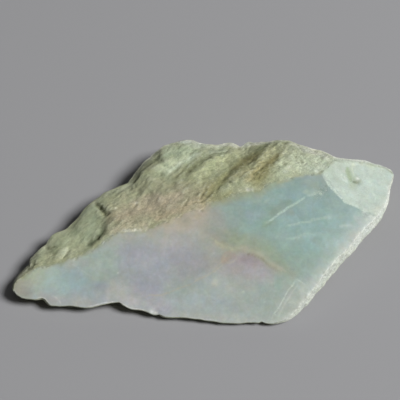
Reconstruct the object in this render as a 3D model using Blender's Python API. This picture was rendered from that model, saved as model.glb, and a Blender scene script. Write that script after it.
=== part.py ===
"""Rough jadeite: one natural stone, a thick wedge about 105 mm long.

The stone lies on a small flat spot.  Towards -Y it shows a sawn, lightly
polished face that rises to a ridge; behind the ridge the natural rind rolls
back to a crest and drops to the underside.  The grain of the rock runs from
the near left to the far right.  Lengths are millimetres until the mesh is
made, which is in metres.  +X is the long way, +Y is away from the sawn face,
+Z is up, and the origin is under the middle of the stone, on the surface that
it rests on.
"""

import math

import bmesh
import bpy
import numpy as np
from mathutils import Vector, noise

# ---------------------------------------------------------------- dimensions
MM = 0.001
STATIONS = 92  # cross-sections from the left tip to the right tip
RIND_STEPS = 13  # steps from the ridge to the crest
BACK_STEPS = 6  # steps over the crest and down the back
UNDER_STEPS = 18  # steps along the underside
SAW_ALLOWANCE = 0.8  # how far the rough block stands above the tallest flat
LOFT_TURN = math.radians(19.0)  # the stone's long diagonal, from +X
CENTRE_SHIFT = (-2.523, 12.377)  # brings the box's middle to the origin

SPOT_CENTRE = (5.5, -9.5)  # the flat spot that the stone rests on
SPOT_HALF = (19.0, 9.0)
SPOT_TURN = math.radians(14.0)
UNDER_BOW = 0.26  # how fast the underside lifts outside the spot

# The outlines below are read in a view of 400 by 400 units that looks along
# +Y and down.  These four numbers are that view.
ELEVATION = math.radians(54.0)
EYE_DISTANCE = 272.0
FOCAL = 944.4
VIEW_CENTRE = 200.0

# Lower outline, left tip to right tip: the edge of the sawn face.
FRONT = [
    (13.4, 291.0), (14.6, 293.0), (16.5, 295.0), (19.5, 297.0), (23.5, 298.6), (28.0, 299.3),
    (32.0, 299.6), (36.0, 299.7), (39.5, 299.0), (42.0, 298.7), (44.5, 299.8), (47.0, 302.6),
    (49.0, 305.0), (51.0, 305.9), (55.0, 306.2), (60.0, 306.6), (65.0, 306.3), (70.0, 306.1),
    (75.0, 306.7), (80.0, 307.5), (86.0, 308.2), (90.0, 308.1), (95.0, 307.0), (100.0, 305.7),
    (105.0, 304.5), (108.0, 304.0), (111.0, 303.3), (115.0, 302.9), (118.5, 302.7), (120.3, 303.2),
    (122.0, 305.0), (124.5, 306.4), (127.0, 307.9), (130.0, 309.2), (133.0, 309.9), (138.0, 310.2),
    (142.0, 310.8), (146.0, 312.0), (150.0, 313.8), (153.0, 314.8), (156.0, 315.0), (159.0, 314.8),
    (161.0, 315.5), (163.0, 316.7), (166.0, 317.4), (172.0, 317.6), (180.0, 317.6), (186.0, 318.1),
    (191.0, 318.9), (196.0, 319.3), (200.0, 319.6), (205.0, 320.9), (210.0, 321.3), (216.0, 322.0),
    (221.0, 323.1), (230.0, 323.4), (240.0, 323.7), (247.0, 322.9), (254.0, 322.9), (259.0, 323.0),
    (261.5, 321.9), (264.0, 323.1), (268.0, 323.9), (273.0, 324.3), (278.0, 323.6), (283.0, 322.4),
    (288.0, 320.8), (293.0, 318.0), (297.0, 315.2), (301.0, 311.4), (305.0, 307.3), (310.0, 302.5),
    (313.0, 298.2), (316.0, 294.3), (320.0, 290.0), (324.0, 285.6), (328.0, 280.2), (332.0, 275.6),
    (336.0, 271.0), (340.0, 266.2), (345.0, 260.6), (350.0, 256.0), (354.0, 252.0), (358.0, 246.2),
    (363.0, 240.0), (367.0, 235.2), (371.0, 231.0), (376.0, 225.0), (380.0, 220.0), (383.5, 213.5),
    (386.5, 207.5), (388.8, 201.0), (389.8, 194.0), (390.6, 188.0), (392.2, 183.5), (393.3, 179.5),
    (393.5, 176.5),
]
# The broken strip along that edge: (reading along the outline, its width in
# view units, how far in mm its outer side lies below the sawn face).
STRIP = [
    (13.0, 1.1, 0.40), (20.0, 1.0, 0.26), (268.0, 1.0, 0.26), (283.0, 1.9, 0.55), (288.0, 3.0, 0.78),
    (297.0, 4.0, 1.05), (305.0, 5.0, 1.30), (313.0, 5.5, 1.50), (320.0, 6.0, 1.70), (332.0, 7.0, 1.90),
    (345.0, 7.0, 1.90), (358.0, 6.5, 1.90), (371.0, 6.0, 1.80), (380.0, 6.0, 1.70), (386.5, 5.0, 1.50),
    (389.0, 4.0, 1.20), (390.6, 3.0, 1.00), (393.0, 1.6, 0.70), (394.0, 1.2, 0.60),
]
# The ridge, where the sawn face meets the rind, left to right.
RIDGE = [
    (13.5, 289.6), (14.3, 284.6), (16.5, 280.8), (21.0, 277.4), (27.0, 273.8), (31.0, 271.6), (36.5, 268.4),
    (45.0, 266.4), (52.0, 264.6), (62.0, 262.0), (68.0, 259.2), (75.0, 257.4), (82.0, 255.3), (88.0, 251.0),
    (93.0, 248.6), (98.0, 245.4), (104.0, 241.0), (110.0, 237.0), (116.0, 234.0), (122.0, 231.4), (130.0, 230.6),
    (138.0, 230.6), (148.0, 228.6), (159.0, 224.8), (170.0, 220.0), (180.0, 215.6), (191.0, 211.0), (203.7, 208.0),
    (209.0, 203.6), (214.0, 202.0), (220.5, 200.4), (226.0, 198.0), (231.0, 196.0), (240.0, 193.0), (247.0, 191.4),
    (254.0, 190.8), (260.0, 190.2), (262.6, 187.4), (265.0, 185.0), (272.0, 182.6), (280.0, 180.6), (289.0, 178.0),
    (295.0, 176.0), (302.0, 174.6), (312.0, 174.0), (318.0, 173.8), (321.4, 172.6), (325.0, 169.0), (330.0, 163.8),
    (335.0, 159.8), (340.0, 159.8), (349.0, 160.8), (356.0, 161.5), (366.0, 162.4), (373.0, 164.6), (380.0, 166.2),
    (385.0, 168.2), (389.0, 170.2), (391.2, 172.0), (392.4, 174.4), (392.9, 176.2),
]
# Upper outline, left tip to right tip: the crest.
CREST = [
    (13.0, 289.0), (12.6, 286.5), (13.3, 283.2), (15.5, 278.8), (18.5, 275.2), (22.0, 271.6), (26.0, 267.4),
    (30.2, 262.6), (29.7, 260.0), (33.0, 256.4), (37.0, 252.0), (42.0, 247.2), (46.0, 244.0), (48.5, 240.0),
    (51.0, 236.4), (54.5, 233.6), (58.0, 232.0), (65.0, 229.8), (70.0, 226.0), (74.5, 221.6), (78.5, 217.2),
    (81.5, 212.6), (84.0, 209.2), (86.0, 207.0), (90.0, 203.8), (94.5, 200.4), (100.0, 196.6), (104.0, 192.9),
    (108.5, 190.9), (113.0, 188.8), (118.0, 186.6), (122.0, 185.0), (125.5, 184.0), (128.2, 182.8), (129.8, 180.2),
    (132.2, 177.2), (134.6, 173.4), (137.2, 170.4), (140.2, 166.7), (143.2, 163.0), (146.2, 160.2), (149.5, 158.0),
    (152.2, 155.0), (155.0, 152.3), (158.0, 150.0), (161.0, 147.4), (164.0, 145.4), (168.0, 144.2), (172.0, 143.1),
    (178.0, 141.4), (184.0, 140.2), (190.0, 139.8), (194.0, 140.8), (200.0, 143.0), (208.0, 144.5), (215.5, 144.9),
    (221.0, 144.3), (225.0, 143.3), (229.0, 142.7), (233.0, 143.3), (237.0, 145.0), (240.5, 146.8), (243.7, 145.2),
    (246.0, 143.0), (249.0, 141.6), (254.0, 142.2), (261.0, 141.6), (268.0, 141.5), (275.0, 140.5), (285.0, 140.4),
    (289.0, 140.8), (293.0, 142.3), (300.0, 145.0), (305.0, 146.5), (310.0, 148.2), (315.0, 149.4), (320.0, 150.4),
    (325.0, 152.2), (330.0, 154.8), (335.0, 157.4), (340.0, 158.6), (349.0, 159.7), (356.0, 160.3), (366.0, 161.2),
    (373.0, 163.4), (380.0, 165.0), (385.0, 167.0), (389.0, 168.8), (391.5, 170.6), (392.9, 173.2), (393.4, 175.6),
]
# Height of the crest: (reading along it, mm).  Right of the last reading the
# crest is the far edge of the frosted facet and takes that facet's height.
CREST_HEIGHT = [
    (12.0, 3.7), (30.0, 4.7), (46.0, 5.3), (90.0, 6.3), (125.0, 6.9), (165.0, 8.0), (200.0, 9.0),
    (240.0, 10.0), (268.0, 11.2), (300.0, 11.8), (325.0, 11.8),
]
FACET_FROM = 336.0

# Deep breaks in the rind: (readings along it, half-width mm, depth mm).
CREVICES = [
    ([(95.5, 203.0), (100.0, 207.6), (104.2, 212.6), (103.6, 220.0), (101.6, 228.0), (100.0, 234.0), (96.0, 239.0), (90.0, 243.6)], 1.1, 0.8),
    ([(184.0, 178.0), (193.0, 169.0), (200.0, 162.0), (207.0, 156.4), (213.0, 151.0)], 1.2, 0.6),
    ([(199.0, 204.0), (207.0, 195.0), (215.0, 187.0), (222.0, 180.0), (228.0, 174.0), (234.0, 167.5)], 1.2, 0.45),
    ([(138.0, 171.6), (144.0, 168.0), (150.0, 162.0), (156.0, 157.0)], 1.0, 0.7),
]
# Steps in the rind, higher on the right: (readings, height, half-width, reach).
SCARPS = [
    ([(233.0, 172.0), (243.0, 163.0), (250.0, 157.0), (258.0, 151.0), (268.0, 143.0)], 1.7, 1.5, 7.0),
    ([(257.0, 173.0), (266.0, 166.0), (273.0, 160.0), (281.0, 153.0)], 0.9, 1.0, 5.0),
]
GRAIN = np.array((0.700, 0.700, 0.140))
CROSS = np.array((0.707, -0.707, 0.0))

# ------------------------------------------------------- readings into space
SIN_E, COS_E = math.sin(ELEVATION), math.cos(ELEVATION)
EYE = np.array((0.0, -EYE_DISTANCE * COS_E, EYE_DISTANCE * SIN_E))


def sight(u, v):
    """Direction of the line of sight through the reading (u, v)."""
    a, b = (u - VIEW_CENTRE) / FOCAL, (VIEW_CENTRE - v) / FOCAL
    return np.array((a, b * SIN_E + COS_E, b * COS_E - SIN_E))


def at_height(u, v, z):
    """Where the line of sight is at height z."""
    d = sight(u, v)
    return EYE + d * ((z - EYE[2]) / d[2])


def hit_plane(u, v, plane):
    """Where the line of sight meets the plane z = a x + b y + c."""
    a, b, c = plane
    d = sight(u, v)
    return EYE + d * ((a * EYE[0] + b * EYE[1] + c - EYE[2]) / (d[2] - a * d[0] - b * d[1]))


def plane_through(p, q, r):
    """The plane z = a x + b y + c through three points."""
    m = np.array([(k[0], k[1], 1.0) for k in (p, q, r)])
    return tuple(np.linalg.solve(m, np.array([k[2] for k in (p, q, r)])))


# The four flats of the worked face.  LAVENDER is the near left one, AQUA the
# upper right one behind the tan crease, FROSTED the facet at the far right, and
# BEVEL the chipped corner at the near right.
LAVENDER = plane_through(at_height(240, 323, 1.7), at_height(15, 288, 4.9), at_height(170, 220, 11.4))
AQUA = plane_through(hit_plane(209, 235.6, LAVENDER), hit_plane(294, 277, LAVENDER), at_height(371, 214, 9.8))
FROSTED = plane_through(hit_plane(321.4, 173, AQUA), hit_plane(371.5, 214, AQUA), at_height(393, 177, 6.6))
BEVEL = plane_through(hit_plane(270.2, 322, LAVENDER), hit_plane(296, 278.2, AQUA), hit_plane(317, 287.5, AQUA))
FLATS = (LAVENDER, AQUA, FROSTED, BEVEL)


def roof(x, y, soft=0.06):
    """Height of the worked face: the lowest of the flats, edges just eased."""
    zs = np.array([a * x + b * y + c for a, b, c in FLATS])
    low = zs.min(axis=0)
    return low - soft * np.log(np.exp(-(zs - low) / soft).sum(axis=0))


def on_face(u, v):
    """Where the line of sight meets the worked face."""
    d = sight(u, v)
    t = max((a * EYE[0] + b * EYE[1] + c - EYE[2]) / (d[2] - a * d[0] - b * d[1]) for a, b, c in FLATS)
    return EYE + d * t


def to_loft(p):
    """(x, y, z) as (along the stone, across it, up)."""
    c, s = math.cos(LOFT_TURN), math.sin(LOFT_TURN)
    return np.array((p[0] * c + p[1] * s, -p[0] * s + p[1] * c, p[2]))


def from_loft(s, w):
    c, n = math.cos(LOFT_TURN), math.sin(LOFT_TURN)
    return s * c - w * n, s * n + w * c


# ----------------------------------------------------------- the five curves
def knots(table, at):
    cols = np.array(table, float).T
    return [np.interp(at, cols[0], c) for c in cols[1:]]


def smooth(xs, ys, at):
    """Monotone cubic through (xs, ys), so a curve never swings past a reading."""
    h = np.diff(xs)
    d = np.diff(ys) / h
    m = np.zeros_like(ys)
    same = d[:-1] * d[1:] > 0
    w1, w2 = 2 * h[1:] + h[:-1], h[1:] + 2 * h[:-1]
    inner = np.zeros(len(d) - 1)
    inner[same] = (w1 + w2)[same] / (w1[same] / d[:-1][same] + w2[same] / d[1:][same])
    m[1:-1] = inner
    m[0], m[-1] = d[0], d[-1]
    i = np.clip(np.searchsorted(xs, at) - 1, 0, len(h) - 1)
    t = (at - xs[i]) / h[i]
    return (
        (1 + 2 * t) * (1 - t) ** 2 * ys[i] + t * (1 - t) ** 2 * h[i] * m[i]
        + t * t * (3 - 2 * t) * ys[i + 1] + t * t * (t - 1) * h[i] * m[i + 1]
    )


def curve(points):
    """Loft-frame curve kept in order along the stone."""
    p = np.array([to_loft(q) for q in points])
    keep = [0]
    for i in range(1, len(p)):
        if p[i, 0] > p[keep[-1], 0] + 0.02:
            keep.append(i)
    return p[keep]


def inward():
    """Unit normals of the lower outline, pointing into the stone."""
    f = np.array(FRONT)
    t = np.gradient(f, axis=0)
    n = np.column_stack((t[:, 1], -t[:, 0]))
    return n / np.linalg.norm(n, axis=1)[:, None]


def front_curves():
    inner, outer = [], []
    for (u, v), n in zip(FRONT, inward()):
        wide, drop = knots(STRIP, u)
        inner.append(on_face(u + n[0] * wide, v + n[1] * wide))
        outer.append(at_height(u, v, on_face(u, v)[2] - drop))
    return curve(inner), curve(outer)


def crest_curve():
    out = []
    for u, v in CREST:
        mix = min(1.0, max(0.0, (u - FACET_FROM) / 12.0 + 1.0))
        z = (1 - mix) * knots(CREST_HEIGHT, u)[0] + mix * (on_face(u, v)[2] - 0.35)
        out.append(at_height(u, v, z))
    return curve(out)


C_EDGE, C_LIP = front_curves()
C_RIDGE = curve([on_face(u, v) for u, v in RIDGE])
C_CREST = crest_curve()
S_FIRST = max(c[0, 0] for c in (C_EDGE, C_LIP, C_CREST)) + 0.05
S_LAST = min(c[-1, 0] for c in (C_EDGE, C_LIP, C_CREST)) - 0.05


def stations(n):
    """Places along the stone, closer together at its two tips."""
    t = np.linspace(0.0, 1.0, n)
    e = 0.045
    warp = np.where(t < e, t * t / (2 * e), np.where(t > 1 - e, 1 - e - (1 - t) ** 2 / (2 * e), t - e / 2))
    return S_FIRST + (S_LAST - S_FIRST) * warp / warp[-1]


def uneven(s, length, seed):
    """Slow swings along the stone, from about -1 to 1."""
    return np.array([np.clip(2.2 * noise.noise(Vector((q / length, seed, 2 * seed))), -1, 1) for q in s])


def section_lines(s):
    """Edge, lip, ridge, crest shoulder and back bulge at the stations s."""
    at = {}
    for name, c in (("edge", C_EDGE), ("lip", C_LIP), ("ridge", C_RIDGE), ("crest", C_CREST)):
        q = np.clip(s, c[0, 0], c[-1, 0])
        at[name] = np.column_stack((smooth(c[:, 0], c[:, 1], q), smooth(c[:, 0], c[:, 2], q)))
    crest, lip = at["crest"], at["lip"]
    run = np.gradient(crest[:, 0], s)
    k = np.ones(9) / 9
    run = np.convolve(np.pad(run, 4, mode="edge"), k, mode="valid")
    slope = SIN_E / (COS_E * math.cos(LOFT_TURN) - COS_E * math.sin(LOFT_TURN) * np.clip(run, -1.5, 1.5))
    wide = crest[:, 0] - lip[:, 0]
    bulge = np.clip(wide * 0.10, 0.15, 1.7)
    low = crest[:, 1] * (0.46 + 0.16 * uneven(s, 7.0, 3.3))
    high = crest[:, 1] - low
    for _ in range(6):
        turn = np.arctan(slope * bulge / high)
        high = (crest[:, 1] - low) / np.cos(turn)
    at["shoulder"] = np.column_stack((crest[:, 0] - bulge * np.sin(turn), low + high))
    at["bulge"] = np.column_stack((at["shoulder"][:, 0] + bulge, low))
    ridge = at["ridge"]
    ridge[:, 0] = np.clip(ridge[:, 0], at["edge"][:, 0] + 0.05, at["shoulder"][:, 0] - 0.03)
    edge = at["edge"]
    edge[:, 0] = np.maximum(edge[:, 0], lip[:, 0] + 0.03)
    edge[:, 0] = np.minimum(edge[:, 0], at["shoulder"][:, 0] - 0.08)
    return at


def bowl(x, y, most=9.0):
    """Height of the underside: zero or less inside the flat spot, and never
    more than about `most` outside it."""
    c, s = math.cos(SPOT_TURN), math.sin(SPOT_TURN)
    dx, dy = x - SPOT_CENTRE[0], y - SPOT_CENTRE[1]
    q = ((dx * c + dy * s) / SPOT_HALF[0]) ** 2 + ((-dx * s + dy * c) / SPOT_HALF[1]) ** 2
    z = UNDER_BOW * (q - 1.0)
    return np.where(z > 0, most * (1 - np.exp(-np.maximum(z, 0) / most)), z)


def rind_height(t, ridge, shoulder):
    """Height of the rind, t from 0 at the ridge to 1 at the shoulder."""
    wide = shoulder[..., 0] - ridge[..., 0]
    crown = np.clip(0.035 * wide, 0.0, 0.8)
    return ridge[..., 1] + (shoulder[..., 1] - ridge[..., 1]) * t + crown * 4 * t * (1 - t)


def soft_max(a, b, k=0.35):
    h = np.clip(0.5 + 0.5 * (a - b) / k, 0, 1)
    return b + (a - b) * h + k * h * (1 - h)


def rings(n_stations, n_rind, n_back, n_under):
    """Points of the rough block before its relief, and where each one lies.

    Returns points (stations, ring, 3), one label per point of a ring (0 the
    block above the sawn flats, 1 the rind, 2 the back, 3 the underside, 4 the
    broken strip), the stations and the section lines."""
    s = stations(n_stations)
    at = section_lines(s)
    edge, lip, ridge, shoulder, back = (at[k] for k in ("edge", "lip", "ridge", "shoulder", "bulge"))
    parts, labels = [], []

    def put(w, z, label):
        parts.append(np.dstack((w, z)))
        labels.extend([label] * w.shape[1])

    def flats(w):
        x, y = from_loft(s[:, None], w)
        return roof(x, y)

    # The broken strip, carried on above the flats so that the saw crosses it.
    over = 1.45
    rise = flats(edge[:, 0:1]) - lip[:, 1:2]
    put(lip[:, 0:1], lip[:, 1:2], 4)
    put(lip[:, 0:1] + (edge[:, 0:1] - lip[:, 0:1]) * 0.5, lip[:, 1:2] + rise * 0.55, 4)
    w_in = lip[:, 0:1] + (edge[:, 0:1] - lip[:, 0:1]) * over
    w_out = ridge[:, 0:1] - np.clip(0.1 * (ridge[:, 0:1] - edge[:, 0:1]), 0.01, 0.5)
    w_in = np.minimum(w_in, (edge[:, 0:1] + w_out) / 2)
    put(w_in, flats(w_in) + rise * 0.4, 0)
    t = np.linspace(0, 1, 5)[None, 1:-1]
    w = w_in + (w_out - w_in) * t
    x, y = from_loft(s[:, None], w)
    tallest = np.array([a * x + b * y + c for a, b, c in FLATS]).max(axis=0)
    put(w, tallest + SAW_ALLOWANCE, 0)
    put(w_out, flats(w_out) + 0.12, 0)
    # The rind, from just behind the ridge.
    wide = shoulder[:, 0:1] - ridge[:, 0:1]
    z_ridge = flats(ridge[:, 0:1])
    top = np.column_stack((ridge[:, 0], z_ridge[:, 0]))
    first = np.clip(0.5 / np.maximum(wide, 1e-6), 0.02, 0.2)
    t = first + (1 - first) * np.linspace(0, 1, n_rind + 1)[None, :]
    w = ridge[:, 0:1] + wide * t
    z = rind_height(t, top[:, None, :], shoulder[:, None, :])
    put(w, np.minimum(z, flats(w) - 0.05), 1)
    a = np.linspace(0, math.pi / 2, n_back + 1)[None, 1:]
    put(
        shoulder[:, 0:1] + (back[:, 0:1] - shoulder[:, 0:1]) * np.sin(a),
        back[:, 1:2] + (shoulder[:, 1:2] - back[:, 1:2]) * np.cos(a),
        2,
    )
    t = np.linspace(0, 1, n_under + 1)[None, 1:-1]
    t = t - 0.11 * np.sin(2 * math.pi * t)
    w = back[:, 0:1] + (lip[:, 0:1] - back[:, 0:1]) * t
    x, y = from_loft(s[:, None], w)
    undercut = 1.5 * np.exp(0.6 * uneven(s, 9.0, 8.7))[:, None]
    z = soft_max(lip[:, 1:2] - 1.05 * (w - lip[:, 0:1]), back[:, 1:2] - undercut * (back[:, 0:1] - w))
    z = soft_max(z, bowl(x, y, 0.66 * lip[:, 1:2]))
    put(w, z, 3)
    ring = np.concatenate(parts, axis=1)
    x, y = from_loft(s[:, None], ring[:, :, 0])
    return np.dstack((x, y, ring[:, :, 1])), np.array(labels), s, at


# ------------------------------------------------------------------- relief
def top_height(x, y, s_grid, at):
    """Height of the unworked top at a place, before its relief."""
    s, w, _ = to_loft((x, y, 0.0))
    line = {k: np.array([np.interp(s, s_grid, v[:, i]) for i in (0, 1)]) for k, v in at.items()}
    ridge, shoulder, back = line["ridge"], line["shoulder"], line["bulge"]
    face = float(roof(np.array(x), np.array(y)))
    if w <= ridge[0]:
        return face
    if w <= shoulder[0]:
        return min(face, float(rind_height((w - ridge[0]) / (shoulder[0] - ridge[0]), ridge, shoulder)))
    k = min(1.0, (w - shoulder[0]) / (back[0] - shoulder[0]))
    return back[1] + (shoulder[1] - back[1]) * math.sqrt(1 - k * k)


def on_stone(u, v, s_grid, at):
    """Where the line of sight through (u, v) meets the top of the stone."""
    d = sight(u, v)
    near, far = (20.0 - EYE[2]) / d[2], (0.0 - EYE[2]) / d[2]
    for _ in range(30):
        mid = (near + far) / 2
        p = EYE + d * mid
        if p[2] > top_height(p[0], p[1], s_grid, at):
            near = mid
        else:
            far = mid
    return EYE + d * far


def beside(points, line):
    """Distance in plan from each point to a line, and which side it is on:
    1 or -1 beside the line, fading through 0 past its ends."""
    best = np.full(len(points), 1e9)
    side = np.zeros(len(points))
    for a, b in zip(line[:-1, :2], line[1:, :2]):
        d = b - a
        r = points[:, :2] - a
        t = np.clip((r @ d) / (d @ d), 0, 1)
        off = r - t[:, None] * d
        dist = np.hypot(off[:, 0], off[:, 1])
        near = dist < best
        best = np.where(near, dist, best)
        turn = (off[:, 0] * d[1] - off[:, 1] * d[0]) / (math.hypot(*d) * np.maximum(dist, 1e-6))
        side = np.where(near, turn, side)
    return best, side


def drawn_out(points, along, across, up, seed):
    """Noise drawn out along the grain of the rock."""
    a, c, z = points @ GRAIN / along, points @ CROSS / across, points[:, 2] / up
    return np.array([noise.noise(Vector((p + seed, q - 2 * seed, r + 3 * seed))) for p, q, r in zip(a, c, z)])


def rind_relief(points):
    """Folds of the rind, mm: long ridges with narrow troughs between them."""
    sway = points + np.outer(drawn_out(points, 15, 11, 9, 3.1) * 1.6, CROSS)
    big = 1 - 2.2 * np.abs(drawn_out(sway, 19, 6.5, 8, 11.3))
    mid = 1 - 2.2 * np.abs(drawn_out(sway, 8, 2.7, 4, 27.7))
    return 0.50 * big + 0.26 * mid - 0.25


def lobes(points):
    """Soft swells of the broken sides and the underside, mm."""
    n = [noise.noise(p) for p in (Vector(q / 11.0) + Vector((5.2, 8.1, 1.7)) for q in points)]
    m = [noise.noise(p) for p in (Vector(q / 4.5) + Vector((1.2, 3.1, 9.7)) for q in points)]
    return 0.55 * np.array(n) + 0.22 * np.array(m)


def chipped(points, size, seed):
    """Broken stone, mm: tilted flats a few mm wide that meet at soft edges."""
    out = np.zeros(len(points))
    for i, q in enumerate(points / size + seed):
        dist, centres = noise.voronoi(Vector(q))
        high = []
        for c in centres[:2]:
            lean = noise.cell_vector(c * 7.3 + Vector((0.37, 0.61, 0.83)))
            high.append((Vector(q) - c).dot(lean) * 0.8 + 0.5 * (lean.x - 0.5 * (lean.y + lean.z)))
        own = min(1.0, (dist[1] - dist[0]) / 0.22)
        out[i] = high[0] * (0.5 + 0.5 * own) + high[1] * (0.5 - 0.5 * own)
    return out * size * 0.25


def broken_back(points, label, lines):
    """Relief of the broken back, mm.  It starts a little under the crest and
    runs out on the underside."""
    fall = (lines["crest_z"] - points[:, 2]) / np.maximum(lines["crest_z"], 1.0)
    part = (label == 2) | (label == 3)
    share = np.where(part, np.clip((fall - 0.10) / 0.30, 0, 1), 0.0)
    w = np.array([to_loft(p)[1] for p in points])
    share = share * np.clip(1.25 - (lines["bulge"] - w) / 9.0, 0, 1)
    out = np.zeros(len(points))
    some = share > 0
    out[some] = chipped(points[some], 6.5, 4.7) + chipped(points[some], 3.0, 9.2) * 0.7
    return share * np.clip(out - 0.15, -1.3, 0.9)


def normals(grid):
    """Outward normals of a grid of rings."""
    ds = np.gradient(grid, axis=0)
    dr = np.roll(grid, -1, axis=1) - np.roll(grid, 1, axis=1)
    n = np.cross(dr, ds)
    n /= np.maximum(np.linalg.norm(n, axis=2), 1e-9)[:, :, None]
    mid = grid.mean(axis=1, keepdims=True)
    if ((grid - mid) * n).sum() < 0:
        n = -n
    return n


def carve(grid, labels, s, at):
    """Adds the relief to the rings: rind, back and underside, never the face."""
    n_s, n_r, _ = grid.shape
    flat = grid.reshape(-1, 3)
    label = np.tile(labels, n_s)
    w = np.array([to_loft(p)[1] for p in flat])
    lines = {k: np.repeat(v[:, 0], n_r) for k, v in at.items()}
    lines["crest_z"] = np.repeat(at["crest"][:, 1], n_r)
    tip = np.repeat(np.clip(np.minimum(s - s[0], s[-1] - s) / 6.0, 0, 1), n_r)
    from_ridge = np.clip((w - lines["ridge"]) / 2.5, 0, 1)
    to_crest = np.clip(np.abs(w - lines["crest"]) / 2.2, 0, 1)
    frosted = np.clip((lines["shoulder"] - lines["ridge"]) / 2.0, 0, 1)
    rind = np.where(label == 1, from_ridge * (0.2 + 0.8 * to_crest) * frosted, 0.0)
    rind = np.where(label == 2, 0.2 + 0.8 * to_crest, rind)
    amount = rind * rind_relief(flat) * np.where(label == 2, 0.8, 1.0)
    rough = np.where(label == 3, np.clip((bowl(flat[:, 0], flat[:, 1]) - 0.05) / 0.5, 0, 1), 0.0)
    amount = amount + lobes(flat) * (rough + 0.5 * (label == 2)) * tip
    amount = amount + broken_back(flat, label, lines)
    amount = amount * (0.25 + 0.75 * tip)
    out = flat + normals(grid).reshape(-1, 3) * amount[:, None]
    lift = np.zeros(len(flat))
    on_top = np.where((label == 1) | (label == 2), from_ridge * (0.35 + 0.65 * to_crest), 0.0)
    for readings, half, deep in CREVICES:
        line = np.array([on_stone(u, v, s, at) for u, v in readings])
        dist, _ = beside(flat, line)
        lift -= deep * np.exp(-((dist / half) ** 2))
    for readings, high, half, reach in SCARPS:
        line = np.array([on_stone(u, v, s, at) for u, v in readings])
        dist, side = beside(flat, line)
        lift += 0.5 * high * side * np.tanh(dist / half) * np.exp(-dist / reach)
    out[:, 2] += lift * on_top * (label < 3)
    # Nothing of the rind stands above the planes of the sawn flats.
    under = roof(out[:, 0], out[:, 1]) - 0.04
    out[:, 2] = np.where((label == 1) | (label == 2), np.minimum(out[:, 2], under), out[:, 2])
    return out.reshape(n_s, n_r, 3)


# -------------------------------------------------------------------- build
def clear():
    for o in list(bpy.data.objects):
        bpy.data.objects.remove(o, do_unlink=True)


def stone_material():
    mat = bpy.data.materials.new("jadeite_stone")
    mat.use_nodes = True
    shader = mat.node_tree.nodes["Principled BSDF"]
    shader.inputs["Base Color"].default_value = (0.46, 0.53, 0.47, 1.0)
    shader.inputs["Roughness"].default_value = 0.5
    shader.inputs["Metallic"].default_value = 0.0
    mat.diffuse_color = (0.46, 0.53, 0.47, 1.0)
    return mat


def grind(bm, point, normal):
    """Cuts away what lies on the normal's side of a plane and closes the cut."""
    cut = bmesh.ops.bisect_plane(
        bm, geom=list(bm.verts) + list(bm.edges) + list(bm.faces), dist=1e-7,
        plane_co=point, plane_no=normal, clear_outer=True,
    )
    rim = [e for e in cut["geom_cut"] if isinstance(e, bmesh.types.BMEdge)]
    flats = bmesh.ops.edgeloop_fill(bm, edges=rim)["faces"]
    for f in flats:
        f.smooth = False
    bmesh.ops.triangulate(bm, faces=flats)


def drop_chips(bm):
    """Keeps the stone and drops any sliver that a cut has parted from it."""
    left, bodies = set(bm.verts), []
    while left:
        todo, body = [left.pop()], []
        while todo:
            v = todo.pop()
            body.append(v)
            for e in v.link_edges:
                w = e.other_vert(v)
                if w in left:
                    left.remove(w)
                    todo.append(w)
        bodies.append(body)
    stone = max(bodies, key=len)
    chips = [v for body in bodies if body is not stone for v in body]
    if chips:
        bmesh.ops.delete(bm, geom=chips, context="VERTS")


def build():
    grid, labels, s, at = rings(STATIONS, RIND_STEPS, BACK_STEPS, UNDER_STEPS)
    grid = carve(grid, labels, s, at)
    n_s, n_r, _ = grid.shape
    bm = bmesh.new()
    shift = np.array((CENTRE_SHIFT[0], CENTRE_SHIFT[1], 0.0))
    rows = [[bm.verts.new(Vector((p + shift) * MM)) for p in ring] for ring in grid]
    for i in range(n_s - 1):
        for j in range(n_r):
            k = (j + 1) % n_r
            bm.faces.new((rows[i][j], rows[i][k], rows[i + 1][k], rows[i + 1][j]))
    for row, way in ((rows[0], -1), (rows[-1], 1)):
        mid = sum((v.co for v in row), Vector()) / n_r
        push = Vector((math.cos(LOFT_TURN), math.sin(LOFT_TURN), 0)) * (0.12 * MM * way)
        centre = bm.verts.new(mid + push)
        for j in range(n_r):
            k = (j + 1) % n_r
            bm.faces.new((row[j], row[k], centre))
    for f in bm.faces:
        f.smooth = True
    bmesh.ops.triangulate(bm, faces=bm.faces)
    bmesh.ops.recalc_face_normals(bm, faces=bm.faces)
    # The saw: each flat of the worked face is one plane through the block.
    for a, b, c in FLATS:
        foot = Vector((CENTRE_SHIFT[0], CENTRE_SHIFT[1], c)) * MM
        grind(bm, foot, Vector((-a, -b, 1.0)).normalized())
    # The flat spot: everything under the resting plane is ground off.
    grind(bm, Vector(), Vector((0, 0, -1)))
    drop_chips(bm)
    bmesh.ops.dissolve_degenerate(bm, dist=3e-6, edges=bm.edges)
    bmesh.ops.recalc_face_normals(bm, faces=bm.faces)
    mesh = bpy.data.meshes.new("jadeite")
    bm.to_mesh(mesh)
    bm.free()
    mesh.materials.append(stone_material())
    mesh.set_sharp_from_angle(angle=math.radians(32))
    stone = bpy.data.objects.new("jadeite", mesh)
    bpy.context.scene.collection.objects.link(stone)
    return stone


clear()
build()
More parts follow.
